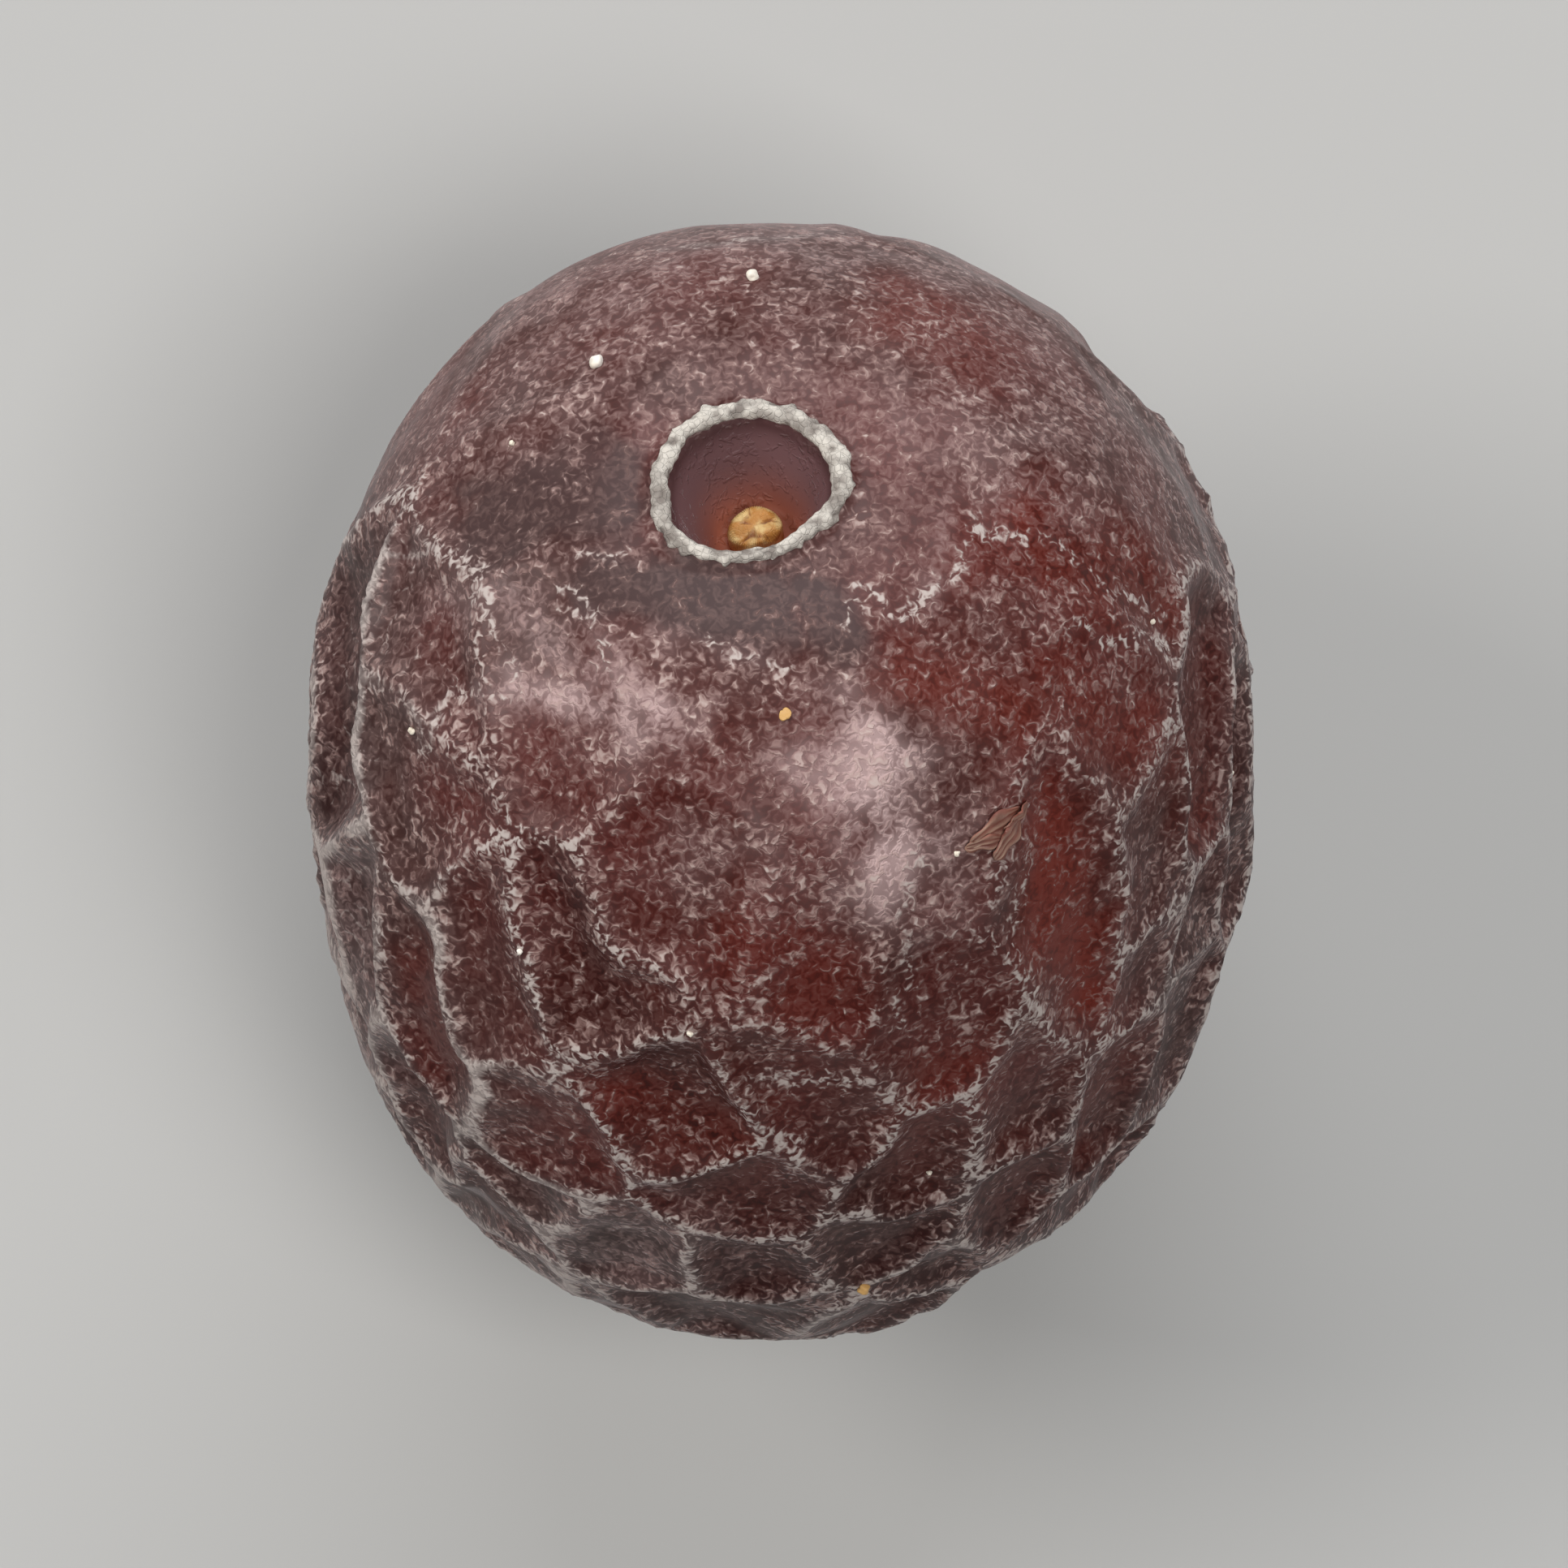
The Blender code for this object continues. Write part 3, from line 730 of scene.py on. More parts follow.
CREASE_STROKES = (
    ((-8.4, 4.8), (-7.0, 5.0), 0.16, 0.80),
    ((-7.0, 5.0), (-6.5, 4.2), 0.16, 0.90),
    ((-6.5, 4.2), (-6.7, 3.1), 0.16, 0.90),
    ((-6.7, 3.1), (-6.0, 2.2), 0.16, 0.80),
    ((-4.9, 4.0), (-4.1, 3.6), 0.22, 1.00),
    ((-4.6, 4.7), (-3.3, 5.0), 0.15, 0.80),
    ((-4.15, 3.7), (-3.9, 2.6), 0.15, 0.80),
    ((-7.8, 0.8), (-7.2, 2.1), 0.16, 0.80),
    ((-7.2, 2.1), (-6.2, 1.6), 0.16, 0.70),
    ((1.0, 3.1), (1.4, 4.1), 0.16, 0.80),
    ((1.4, 4.1), (2.3, 3.5), 0.16, 0.80),
    ((2.3, 3.5), (3.9, 5.9), 0.18, 0.90),
    ((-1.9, 3.1), (-0.3, 2.3), 0.22, 0.80),
    ((3.9, 5.7), (8.0, 3.5), 0.18, 0.80),
    ((6.0, 3.3), (8.3, 2.7), 0.22, 0.90),
    ((2.4, -1.4), (2.3, -5.2), 0.18, 0.70),
    ((4.9, -1.6), (5.0, -4.8), 0.16, 0.70),
    ((-0.9, -6.4), (2.4, -6.9), 0.20, 0.70),
    ((-1.0, -7.2), (-0.2, -8.2), 0.20, 0.80),
)

# %% Lay the strokes on
SEEN_FADE = (-3.5, -0.8)
FRAYS = ((1.0, 1.6), (0.4, 0.5))
LAYERS = {
    # strokes, how far their edges fray in millimetres, seed
    "red": (RED_STROKES, 0.6, 1.0),
    "haze_and_highlight": (HAZE_AND_HIGHLIGHT_STROKES, 0.9, 2.0),
    "dark": (DARK_STROKES, 0.7, 3.0),
    "lace": (LACE_STROKES, 0.8, 4.0),
    "rim": (RIM_SHEEN_STROKES, 0.15, 6.0),
    "crease": (CREASE_STROKES, 0.5, 7.0),
    "shade": (SHADE_STROKES, 0.7, 8.0),
}


def stroke_mask(points, strokes, fray, seed):
    """How strongly the strokes cover each point that is seen from above."""
    standing = points @ TURN.T
    flat = standing[:, :2].copy()
    for share, length in FRAYS:
        shake = np.stack((rough(points, length, seed), rough(points, length, seed + 5.0)), axis=1)
        flat += share * fray * shake
    cover = np.zeros(len(points))
    for start, end, width, strength in strokes:
        reach = distance_to_line(flat, np.array(start), np.array(end))
        cover = np.maximum(cover, strength * np.exp(-((reach / width) ** 2)))
    return cover * smooth_step(*SEEN_FADE, standing[:, 2])


laid = {name: stroke_mask(plain_points, *layer) for name, layer in LAYERS.items()}
print("strokes laid on:", sum(len(strokes) for strokes, _, _ in LAYERS.values()))

# %% Ridges, cells, the stem pit and the painted shadow under its ring as masks
RIDGE_REACH, LACE_WIDENS, BESIDE_REACH = 0.16, 0.06, 0.32
PIT_FADE, GLOW_FADE = (1.60, 1.95), (0.45, 1.40)
PIT_SHADOW_RADIUS, PIT_SHADOW_REACH = 1.68, 0.11
_, up_in_view, height = (plain_points @ TURN.T).T
hidden = 1.0 - smooth_step(*SEEN_FADE, height)
in_cell = smooth_step(0.1, 0.75, to_ridge) * smooth_step(0.1, 0.6, net_depth)
on_ridge = np.exp(-((to_ridge / (RIDGE_REACH + LACE_WIDENS * laid["lace"])) ** 2))
on_ridge *= smooth_step(0.14, 0.45, net_depth)
on_ridge *= np.clip(patches(plain_points, 0.80, (0.8, 1.3, 11.0)), 0.0, 1.0)
by_ridge = np.exp(-((to_ridge / BESIDE_REACH) ** 2)) * smooth_step(0.10, 0.40, net_depth)
by_ridge = np.maximum(by_ridge, laid["crease"])
stem_radii, stem_angles = round_the_axis(plain_points)
stem_radii /= ring_scale(stem_angles)
stem_side = plain_points[:, 2] > 0.0
in_pit = (1.0 - smooth_step(*PIT_FADE, stem_radii)) * stem_side
# Painted shadow: a dark line in the pit just under the ring's inner edge.
pit_wall_shadow = np.exp(-(((stem_radii - PIT_SHADOW_RADIUS) / PIT_SHADOW_REACH) ** 2)) * stem_side
glow = (1.0 - smooth_step(*GLOW_FADE, stem_radii)) * stem_side
print("share of the skin on ridges:", round(float(on_ridge.mean()), 3))
print("share of the skin in cells:", round(float(in_cell.mean()), 3))

# %% Redness, haze with painted highlights, lace, painted rim sheen and painted shade as masks
CELL_RED_SEED, CELL_RED = 5, (0.1, 0.9)
TOP_LIGHT_RISE, BELLY_RISE, FAR_SIDE = (-6.0, 3.0), (-6.0, -11.0), (8.5, 5.5)
cell_draw = random.Random(CELL_RED_SEED)
cell_red = np.array([0.0] * len(seen_cells) + [cell_draw.uniform(*CELL_RED) for _ in hidden_cells])
broad = patches(plain_points, 0.5, (0.9, 3.0, 21.0), (0.35, 1.4, 22.0))
close = patches(plain_points, 0.5, (0.7, 1.1, 23.0), (0.5, 0.5, 24.0))
red = np.maximum(laid["red"], cell_red[nearest_cell] * in_cell)
dark = smooth_step(0.12, 0.75, laid["dark"])
haze_and_highlight = laid["haze_and_highlight"]
haze_and_highlight *= (1.0 - 0.7 * red) * (1.0 - 0.8 * dark) * np.clip(0.35 + 1.1 * close, 0.3, 1.15)
# Painted light: the film grows toward the top of the fruit as seen from above, where more light falls.
haze_and_highlight += 0.08 * smooth_step(*TOP_LIGHT_RISE, up_in_view) * (1.0 - dark) * (1.0 - 0.8 * red)
hidden_lace = np.clip(patches(plain_points, 0.15, (0.8, 4.0, 9.0)), 0.0, 0.5)
lace = np.maximum(laid["lace"], hidden * hidden_lace)
upward = (body_normals(plain_points) @ TURN.T)[:, 2]
rim = laid["rim"] * smooth_step(0.04, 0.30, upward)
# Painted shade: the belly and the steep sides away from the top are darkened, and so is the pit under its
# ring.
belly = smooth_step(*BELLY_RISE, up_in_view) * (1.0 - hidden)
shade = 0.55 * smooth_step(0.40, 0.90, 1.0 - upward) * smooth_step(*FAR_SIDE, up_in_view)
for darker in (0.70 * belly, laid["shade"], 0.60 * pit_wall_shadow):
    shade = np.maximum(shade, darker)
print("mean redness:", round(float(red.mean()), 3), "and mean haze:", round(float(haze_and_highlight.mean()), 3))

# %% How much frost each point carries, and all masks painted on the skin
frost = 0.34 + 0.52 * close + 0.10 * haze_and_highlight + 0.45 * by_ridge - 0.12 * red - 0.26 * dark - 0.05 * in_cell
frost -= (0.22 * lace + 0.12 * belly) * (1.0 - by_ridge)
masks = {
    "frost": np.clip(frost, 0.0, 1.0),
    "haze_and_highlight": haze_and_highlight,
    "broad": np.clip(broad, 0.0, 1.0),
    "shade": shade,
    "ridge_and_rim_sheen": np.maximum(np.maximum(on_ridge, rim), 0.75 * laid["crease"]),
    "cell": in_cell,
    "pit": in_pit,
    "red": red,
    "dark": dark,
    # The lace mask also carries the painted rim sheen.
    "lace": np.maximum(lace, rim),
    "glow": glow,
}
for name, values in masks.items():
    paint(fruit_skin, name, values)
print("masks painted:", ", ".join(masks))

# %% [markdown]
# ## The corky ring
# Where the stalk broke away, a pale crust rims the pit. It is a torus, but a lumpy one: beaded,
# scalloped, thicker at its sides. Its points follow the ring's true line on the skin, two sizes of
# noise give the beads, and a third pulls small spurs outwards.

# %% Ring
CLEAR_OF_SKIN = HALF_LENGTH + 3.0
CRUST_RADIUS, CRUST_HALF_WIDTH, CRUST_HALF_HEIGHT, CRUST_SINK = 1.90, 0.185, 0.17, 0.03
CRUST_SEGMENTS, CRUST_WANDER = (320, 28), (0.04, 0.8, 4.0)
BEADS = ((0.34, 0.40, 1.0), (0.26, 0.17, 2.0))
SPUR_REACH, SPUR_LENGTH, SPUR_START = 0.24, 0.24, 0.22


def skin_under(across, angle):
    """Height of the dressed skin, in the upright frame, over a point beside the axis."""
    place = Vector((across * math.cos(angle), across * math.sin(angle), CLEAR_OF_SKIN))
    return skin_tree.ray_cast(place, Vector((0.0, 0.0, -1.0)))[0].z


def add_ring():
    bpy.ops.object.select_all(action="DESELECT")
    bpy.ops.mesh.primitive_torus_add(
        major_radius=CRUST_RADIUS * MM,
        minor_radius=CRUST_HALF_WIDTH * MM,
        major_segments=CRUST_SEGMENTS[0],
        minor_segments=CRUST_SEGMENTS[1],
    )
    ring = start_piece("stem_ring")
    points = points_of(ring)
    angles = np.arctan2(points[:, 1], points[:, 0])
    outwards = (np.hypot(points[:, 0], points[:, 1]) - CRUST_RADIUS) / CRUST_HALF_WIDTH
    upwards = points[:, 2] / CRUST_HALF_WIDTH
    lumps = patches(points, 1.0, *BEADS)
    thicker = 1.0 + 0.12 * np.cos(2.0 * angles) + 0.10 * np.sin(angles) + 0.06 * np.cos(angles)
    scales = ring_scale(angles)
    radii = CRUST_RADIUS * scales + outwards * CRUST_HALF_WIDTH * lumps * thicker
    radii = patches(points, radii, CRUST_WANDER)
    spurs = np.clip(rough(points, SPUR_LENGTH, 9.0) - SPUR_START, 0.0, 1.0)
    radii += SPUR_REACH * spurs * np.clip(outwards, 0.0, 1.0)
    line = np.array([skin_under(RING_RADIUS * scale, angle) for scale, angle in zip(scales, angles)])
    heights = line - CRUST_SINK + upwards * CRUST_HALF_HEIGHT * lumps
    move_points(ring, stand(np.stack((radii * np.cos(angles), radii * np.sin(angles), heights), axis=1)))
    paint(ring, "knob", np.clip(lumps - 0.5, 0.0, 1.0))
    close_shape(ring)
    return ring


stem_ring = add_ring()
print("ring:", count_triangles(stem_ring), "triangles")

# %% [markdown]
# ## The stalk's stub
# Deep in the pit is what is left of the stalk: an amber knob, cracked from its middle outwards. A
# cylinder's top is inset and raised in steps, subdivision rounds it, and the cracks are pressed into
# its points along the lines where a noise is near nought.

# %% Stub
STUB_RADIUS, STUB_HEIGHT, STUB_FOOT, STUB_SIDES = 0.52, 0.66, 10.2, 64
STUB_STEPS = ((0.09, 0.08), (0.09, 0.05), (0.08, 0.0), (0.08, -0.05), (0.07, -0.04), (0.05, 0.0))
STUB_LUMPS, STUB_SWELLS = (0.12, 0.33, 6.0), (0.05, 0.25, 3.0)
CRACK_LENGTH, CRACK_WIDTH, CRACK_DEPTH, CRACK_RADII = 0.36, 0.08, 0.07, (0.62, 0.30)


def add_stub():
    bpy.ops.object.select_all(action="DESELECT")
    bpy.ops.mesh.primitive_cylinder_add(vertices=STUB_SIDES, radius=STUB_RADIUS * MM, depth=STUB_HEIGHT * MM)
    stub = start_piece("stalk_stub")
    for face in stub.data.polygons:
        face.select = face.normal.z > 0.9
    bpy.ops.object.mode_set(mode="EDIT")
    bpy.ops.mesh.select_mode(type="FACE")
    for inset, rise in STUB_STEPS:
        bpy.ops.mesh.inset(thickness=inset * MM, depth=rise * MM)
    bpy.ops.mesh.poke()
    done()
    edit()
    bpy.ops.mesh.select_mode(type="VERT")
    done()
    smoother = stub.modifiers.new("rounder", "SUBSURF")
    smoother.levels = smoother.render_levels = 2
    apply_all(stub)
    points = points_of(stub)
    angles = np.arctan2(points[:, 1], points[:, 0])
    radii = np.hypot(points[:, 0], points[:, 1])
    top = smooth_step(0.0, 0.3, points[:, 2])
    cracks = np.exp(-((rough(points, CRACK_LENGTH, 31.0) / CRACK_WIDTH) ** 2))
    cracks *= smooth_step(*CRACK_RADII, radii)
    points[:, 2] += top * (patches(points, 0.0, STUB_LUMPS) - CRACK_DEPTH * cracks)
    points[:, :2] *= patches(points, 1.0 + 0.08 * np.sin(2.0 * angles + 0.6), STUB_SWELLS)[:, None]
    points[:, 2] += STUB_FOOT + 0.5 * STUB_HEIGHT
    move_points(stub, stand(points))
    paint(stub, "crack", cracks * top)
    close_shape(stub)
    return stub


stalk_stub = add_stub()
print("stub:", count_triangles(stalk_stub), "triangles")

# %% [markdown]
# ## The blossom's scar
# At the other end a tiny corky disc with a point marks where the blossom's style was. It is a
# flattened ball with a nipple pulled out of its middle.

# %% Scar
SCAR_RADIUS, SCAR_THICKNESS, SCAR_SINK = 0.42, 0.16, 0.03
SCAR_POINT, SCAR_POINT_RADIUS, SCAR_LUMPS = 0.22, 0.11, (0.25, 0.25, 8.0)


def add_scar():
    bpy.ops.object.select_all(action="DESELECT")
    bpy.ops.mesh.primitive_uv_sphere_add(segments=48, ring_count=24, radius=SCAR_RADIUS * MM)
    scar = start_piece("style_scar")
    points = points_of(scar)
    radii = np.hypot(points[:, 0], points[:, 1])
    lumps = patches(points, 1.0, SCAR_LUMPS)
    points[:, :2] *= lumps[:, None]
    points[:, 2] *= SCAR_THICKNESS / SCAR_RADIUS
    points[:, 2] -= SCAR_POINT * np.exp(-((radii / SCAR_POINT_RADIUS) ** 2)) * (points[:, 2] < 0.0)
    foot = skin_tree.ray_cast(Vector((0.0, 0.0, -CLEAR_OF_SKIN)), Vector((0.0, 0.0, 1.0)))[0].z
    points[:, 2] += foot - SCAR_SINK
    move_points(scar, stand(points))
    paint(scar, "knob", np.clip(lumps - 0.5, 0.0, 1.0))
    close_shape(scar)
    return scar


style_scar = add_scar()
print("scar:", count_triangles(style_scar), "triangles")

# %% [markdown]
# ## A small tear in the skin
# On the right of the belly the skin has split and four tiny flakes lift, red-brown and paler along
# the crests of their folds. Each flake is a grid bent into a curled, folded leaf, laid on the skin
# and raised at one edge.

# %% Flakes of the tear
FLAKE_CUTS, FLAKE_WALL, FLAKE_CLEAR = (22, 8), 0.035, 0.03
FOLDS, FOLD_HEIGHT = 3.0, 0.045
FLAKES = (
    # middle (x, y), length, width, turn in degrees, lift
    ((4.20, -0.95), 1.35, 0.46, 38.0, 0.16),
    ((4.45, -1.20), 1.00, 0.40, 60.0, 0.15),
    ((3.98, -1.28), 0.85, 0.32, 16.0, 0.11),
    ((4.62, -0.72), 0.80, 0.24, 50.0, 0.18),
)


def on_skin(x, y):
    """The dressed skin's point under (x, y) seen from above, and its normal, in the upright frame."""
    above, down = np.array((x, y, 30.0)) @ TURN, np.array((0.0, 0.0, -1.0)) @ TURN
    hit = skin_tree.ray_cast(Vector(above), Vector(down))
    return np.array(hit[0]), np.array(hit[1])


def add_flake(place, length, width, turn, lift):
    bpy.ops.object.select_all(action="DESELECT")
    bpy.ops.mesh.primitive_grid_add(x_subdivisions=FLAKE_CUTS[0], y_subdivisions=FLAKE_CUTS[1], size=MM)
    flake = start_piece("flake")
    grid = points_of(flake)
    along, across = 2.0 * grid[:, 0], 2.0 * grid[:, 1]
    taper = np.sqrt(np.clip(1.0 - along**2, 0.0, 1.0)) * (1.0 + 0.25 * np.sin(5.0 * along))
    fold = 0.5 + 0.5 * np.cos(FOLDS * math.pi * across + 2.0 * along)
    curl = lift * (0.5 + 0.5 * across) ** 2 * taper * (1.0 + 0.3 * np.sin(7.0 * along))
    rises = FLAKE_CLEAR + curl + FOLD_HEIGHT * fold * taper
    x, y, spin = 0.5 * length * along, 0.5 * width * across * taper, math.radians(turn)
    steps_x = x * math.cos(spin) - y * math.sin(spin)
    steps_y = x * math.sin(spin) + y * math.cos(spin)
    placed = []
    for step_x, step_y, rise in zip(steps_x, steps_y, rises):
        foot, normal = on_skin(place[0] + step_x, place[1] + step_y)
        placed.append(foot + normal * rise)
    move_points(flake, stand(placed))
    paint(flake, "fold", fold**2 * (0.65 - 0.35 * along))
    wall = flake.modifiers.new("skin thickness", "SOLIDIFY")
    wall.thickness = FLAKE_WALL * MM
    apply_all(flake)
    return flake


skin_tear = join_pieces([add_flake(*flake) for flake in FLAKES], "skin_tear")
print("tear:", len(FLAKES), "flakes,", count_triangles(skin_tear), "triangles")

# %% [markdown]
# ## Grains
# A few white and amber crumbs cling to the skin. Each is a small ball made lumpy by noise with a seed
# of its own, nearly half of it sunk in the skin. A number painted on it says whether it is amber.

# %% Grains on the skin
GRAIN_LUMPS, GRAIN_RISE = 0.5, 0.45
GRAINS = (
    # (x, y), radius, how amber
    ((-0.9, 10.8), 0.13, 0.0),
    ((-4.2, 8.9), 0.14, 0.0),
    ((-0.2, 1.4), 0.12, 1.0),
    ((1.5, -11.0), 0.13, 1.0),
    ((-6.0, 7.2), 0.06, 0.0),
    ((-8.1, 1.1), 0.08, 0.0),
    ((3.4, -1.5), 0.06, 0.0),
    ((-2.2, -5.3), 0.07, 0.0),
    ((-5.8, -3.6), 0.06, 0.0),
    ((7.6, 3.4), 0.06, 0.0),
    ((2.9, -8.4), 0.06, 0.0),
    ((9.5, 0.2), 0.07, 0.0),
)


def add_grain(place, radius, amber, seed):
    bpy.ops.object.select_all(action="DESELECT")
    bpy.ops.mesh.primitive_ico_sphere_add(subdivisions=3, radius=radius * MM)
    grain = start_piece("grain")
    points = points_of(grain)
    points *= (1.0 + GRAIN_LUMPS * rough(points / radius, 1.0, seed))[:, None]
    foot, normal = on_skin(*place)
    placed = stand(points + foot + GRAIN_RISE * radius * normal)
    placed[:, 2] = np.minimum(placed[:, 2], cad_high[2] - BOX_CLEARANCE)
    move_points(grain, placed)
    paint(grain, "amber", np.full(len(points), amber))
    return grain


grains = [add_grain(*grain, 2.0 * index) for index, grain in enumerate(GRAINS)]
dust_grains = join_pieces(grains, "dust_grains")
print("grains:", len(GRAINS), "of them,", count_triangles(dust_grains), "triangles")

# %% [markdown]
# ## Building materials from nodes
# Each finish is procedural, from Object coordinates and the numbers painted on the skin. A small
# helper adds a node, sets what is given and links any socket among its inputs, so that a material
# reads as a list of steps. Object coordinates are in metres, so a group first turns them to
# millimetres, and every scale after it can be thought of as features in a millimetre.

# %% Node helpers
def add(tree, kind, inputs=None, **settings):
    """Adds a node, sets what is given and links the sockets among its inputs."""
    made = tree.nodes.new(kind)
    for name, value in settings.items():
        setattr(made, name, value)
    for name, value in (inputs or {}).items():
        if isinstance(value, bpy.types.NodeSocket):
            tree.links.new(value, made.inputs[name])
        else:
            made.inputs[name].default_value = value
    return made


def sum_up(tree, operation, first, second=0.0, third=0.0, clamp=False):
    inputs = {0: first, 1: second, 2: third}
    return add(tree, "ShaderNodeMath", inputs, operation=operation, use_clamp=clamp).outputs[0]


def times(tree, first, second):
    return sum_up(tree, "MULTIPLY", first, second)


def ramp(tree, value, low, high, start=0.0, end=1.0):
    """A smooth rise from start to end while value goes from low to high."""
    inputs = {"Value": value, "From Min": low, "From Max": high, "To Min": start, "To Max": end}
    return add(tree, "ShaderNodeMapRange", inputs, interpolation_type="SMOOTHSTEP").outputs["Result"]


def mix_colours(tree, share, first, second):
    return add(tree, "ShaderNodeMix", {0: share, 6: first, 7: second}, data_type="RGBA").outputs[2]


def mix_values(tree, share, first, second):
    return add(tree, "ShaderNodeMix", {0: share, 2: first, 3: second}, data_type="FLOAT").outputs[0]


def millimetres(tree):
    """Object coordinates in millimetres."""
    place = add(tree, "ShaderNodeTexCoord").outputs["Object"]
    inputs = {"Vector": place, "Scale": (1.0 / MM, 1.0 / MM, 1.0 / MM)}
    return add(tree, "ShaderNodeMapping", inputs).outputs["Vector"]


def patchy(tree, place, per_mm, detail=3.0, roughness=0.5, distortion=0.0):
    inputs = {"Vector": place, "Scale": per_mm, "Detail": detail, "Roughness": roughness}
    return add(tree, "ShaderNodeTexNoise", {**inputs, "Distortion": distortion}).outputs["Fac"]


def painted(tree, name):
    return add(tree, "ShaderNodeAttribute", attribute_name=name).outputs["Fac"]


def in_words(label):
    """A socket's name in words: Per mm for per_mm."""
    return label.replace("_", " ").capitalize()


def new_group(name, **inputs):
    """A node group with number inputs, such as per_mm, and the sockets inside it that give them."""
    group = bpy.data.node_groups.new(name, "ShaderNodeTree")
    for label, value in inputs.items():
        socket = group.interface.new_socket(in_words(label), in_out="INPUT", socket_type="NodeSocketFloat")
        socket.default_value = value
    return group, add(group, "NodeGroupInput").outputs


def give_out(group, **masks):
    """Gives the group an output for each mask."""
    for label in masks:
        group.interface.new_socket(in_words(label), in_out="OUTPUT", socket_type="NodeSocketFloat")
    add(group, "NodeGroupOutput", {in_words(label): mask for label, mask in masks.items()})
    return group


def use_group(tree, group, **inputs):
    named = {in_words(label): value for label, value in inputs.items()}
    return add(tree, "ShaderNodeGroup", named, node_tree=group).outputs


def new_material(name):
    material = bpy.data.materials.new(name)
    material.use_nodes = True
    return material, material.node_tree, material.node_tree.nodes["Principled BSDF"]


def wire_up(tree, shader, colour, roughness, height, strength, distance):
    """Links colour, roughness and a bump, whose distance is in metres, to the shader."""
    bump = add(tree, "ShaderNodeBump", {"Height": height, "Strength": strength, "Distance": distance})
    tree.links.new(colour, shader.inputs["Base Color"])
    tree.links.new(roughness, shader.inputs["Roughness"])
    tree.links.new(bump.outputs["Normal"], shader.inputs["Normal"])


print("node helpers are ready")

# %% [markdown]
# ## Shared effects
# Four effects are node groups. Frost is the web of fine pale squiggles that dried skin carries. Lace
# is a set of thin winding lines, drawn where a soft noise crosses its middle value, which costs far
# less to render than the edges of Voronoi cells. Grain is the height of tiny creases for a Bump node,
# and blotches are the soft unevenness of anything that dried.

# %% Frost, lace, grain and blotches as node groups
def build_frost():
    """Squiggles where a twisted noise is high: Amount, 0 to 1, sets how much of the skin they cover."""
    group, given = new_group("pale_frost", per_mm=4.0, amount=0.5)
    inputs = {"Vector": millimetres(group), "Scale": given["Per mm"], "Detail": 1.7, "Distortion": 0.9}
    twisted = add(group, "ShaderNodeTexNoise", inputs).outputs["Fac"]
    edge = sum_up(group, "MULTIPLY_ADD", given["Amount"], -0.26, 0.70)
    over = sum_up(group, "SUBTRACT", twisted, edge)
    return give_out(
        group,
        mask=sum_up(group, "MULTIPLY", over, 7.0, clamp=True),
        bright=sum_up(group, "MULTIPLY_ADD", over, 6.0, -0.70, clamp=True),
        soft=sum_up(group, "MULTIPLY_ADD", twisted, 5.0, -2.15, clamp=True),
        gaps=sum_up(group, "MULTIPLY_ADD", twisted, -6.0, 2.85, clamp=True),
        noise=twisted,
    )


def build_lace():
    """Thin winding lines where a noise, stretched along the fruit, crosses its middle value."""
    group, given = new_group("crease_lace", per_mm=0.9, width=0.03)
    stretch = {"Vector": millimetres(group), "Scale": (1.0, 0.6, 0.6)}
    drawn = add(group, "ShaderNodeMapping", stretch).outputs["Vector"]
    swell = patchy(group, drawn, given["Per mm"], detail=1.5, roughness=0.6)
    off_middle = sum_up(group, "ABSOLUTE", sum_up(group, "SUBTRACT", swell, 0.5))
    widths_off = sum_up(group, "DIVIDE", off_middle, given["Width"])
    return give_out(group, mask=sum_up(group, "SUBTRACT", 1.0, widths_off, clamp=True))


def build_grain():
    group, given = new_group("fine_grain", per_mm=3.0, pores=0.3)
    place = millimetres(group)
    inputs = {"Vector": place, "Scale": given["Per mm"]}
    creases = add(group, "ShaderNodeTexVoronoi", inputs, feature="DISTANCE_TO_EDGE").outputs["Distance"]
    soft = patchy(group, place, 5.5, detail=2.0, roughness=0.6)
    creased = times(group, ramp(group, creases, 0.0, 0.12), given["Pores"])
    return give_out(group, height=sum_up(group, "ADD", creased, soft))


def build_blotches():
    group, given = new_group("blotches", per_mm=0.35)
    place = millimetres(group)
    broad = patchy(group, place, given["Per mm"], detail=2.0, distortion=0.8)
    close = patchy(group, place, 1.5, detail=2.5, roughness=0.6)
    return give_out(group, broad=ramp(group, broad, 0.32, 0.68), close=ramp(group, close, 0.32, 0.68))


FROST, LACE, GRAIN, BLOTCHES = build_frost(), build_lace(), build_grain(), build_blotches()
print("node groups:", FROST.name, LACE.name, GRAIN.name, BLOTCHES.name)

# %% [markdown]
# ## The dried skin's finish
# Under the dust the skin is a deep maroon, redder where it is thin over a cell, nearly black between
# the flecks, and greyer on the flanks. Painted shade takes the flanks, the belly and the pit under its
# ring toward the same near black. A plain veil of grey would look like fog, so the bloom is built as
# it really lies: a dense web of fine pale squiggles, thick in the hazy places and sparse on the red
# ones, over a faint film. The film also paints soft highlights where the windows reflect, and a paler
# top. Dust is palest along the ridges, where the web's noise also frays the lines, and the same pale
# lines paint a sheen just inside the outline. The pit is smooth: maroon, with an amber glow round the
# stub.

# %% Skin material
BROWN_RED = (0.048, 0.012, 0.009, 1.0)
DEEP_RED = (0.086, 0.012, 0.009, 1.0)
BRIGHT_RED = (0.150, 0.019, 0.011, 1.0)
DARK_MAUVE = (0.058, 0.033, 0.032, 1.0)
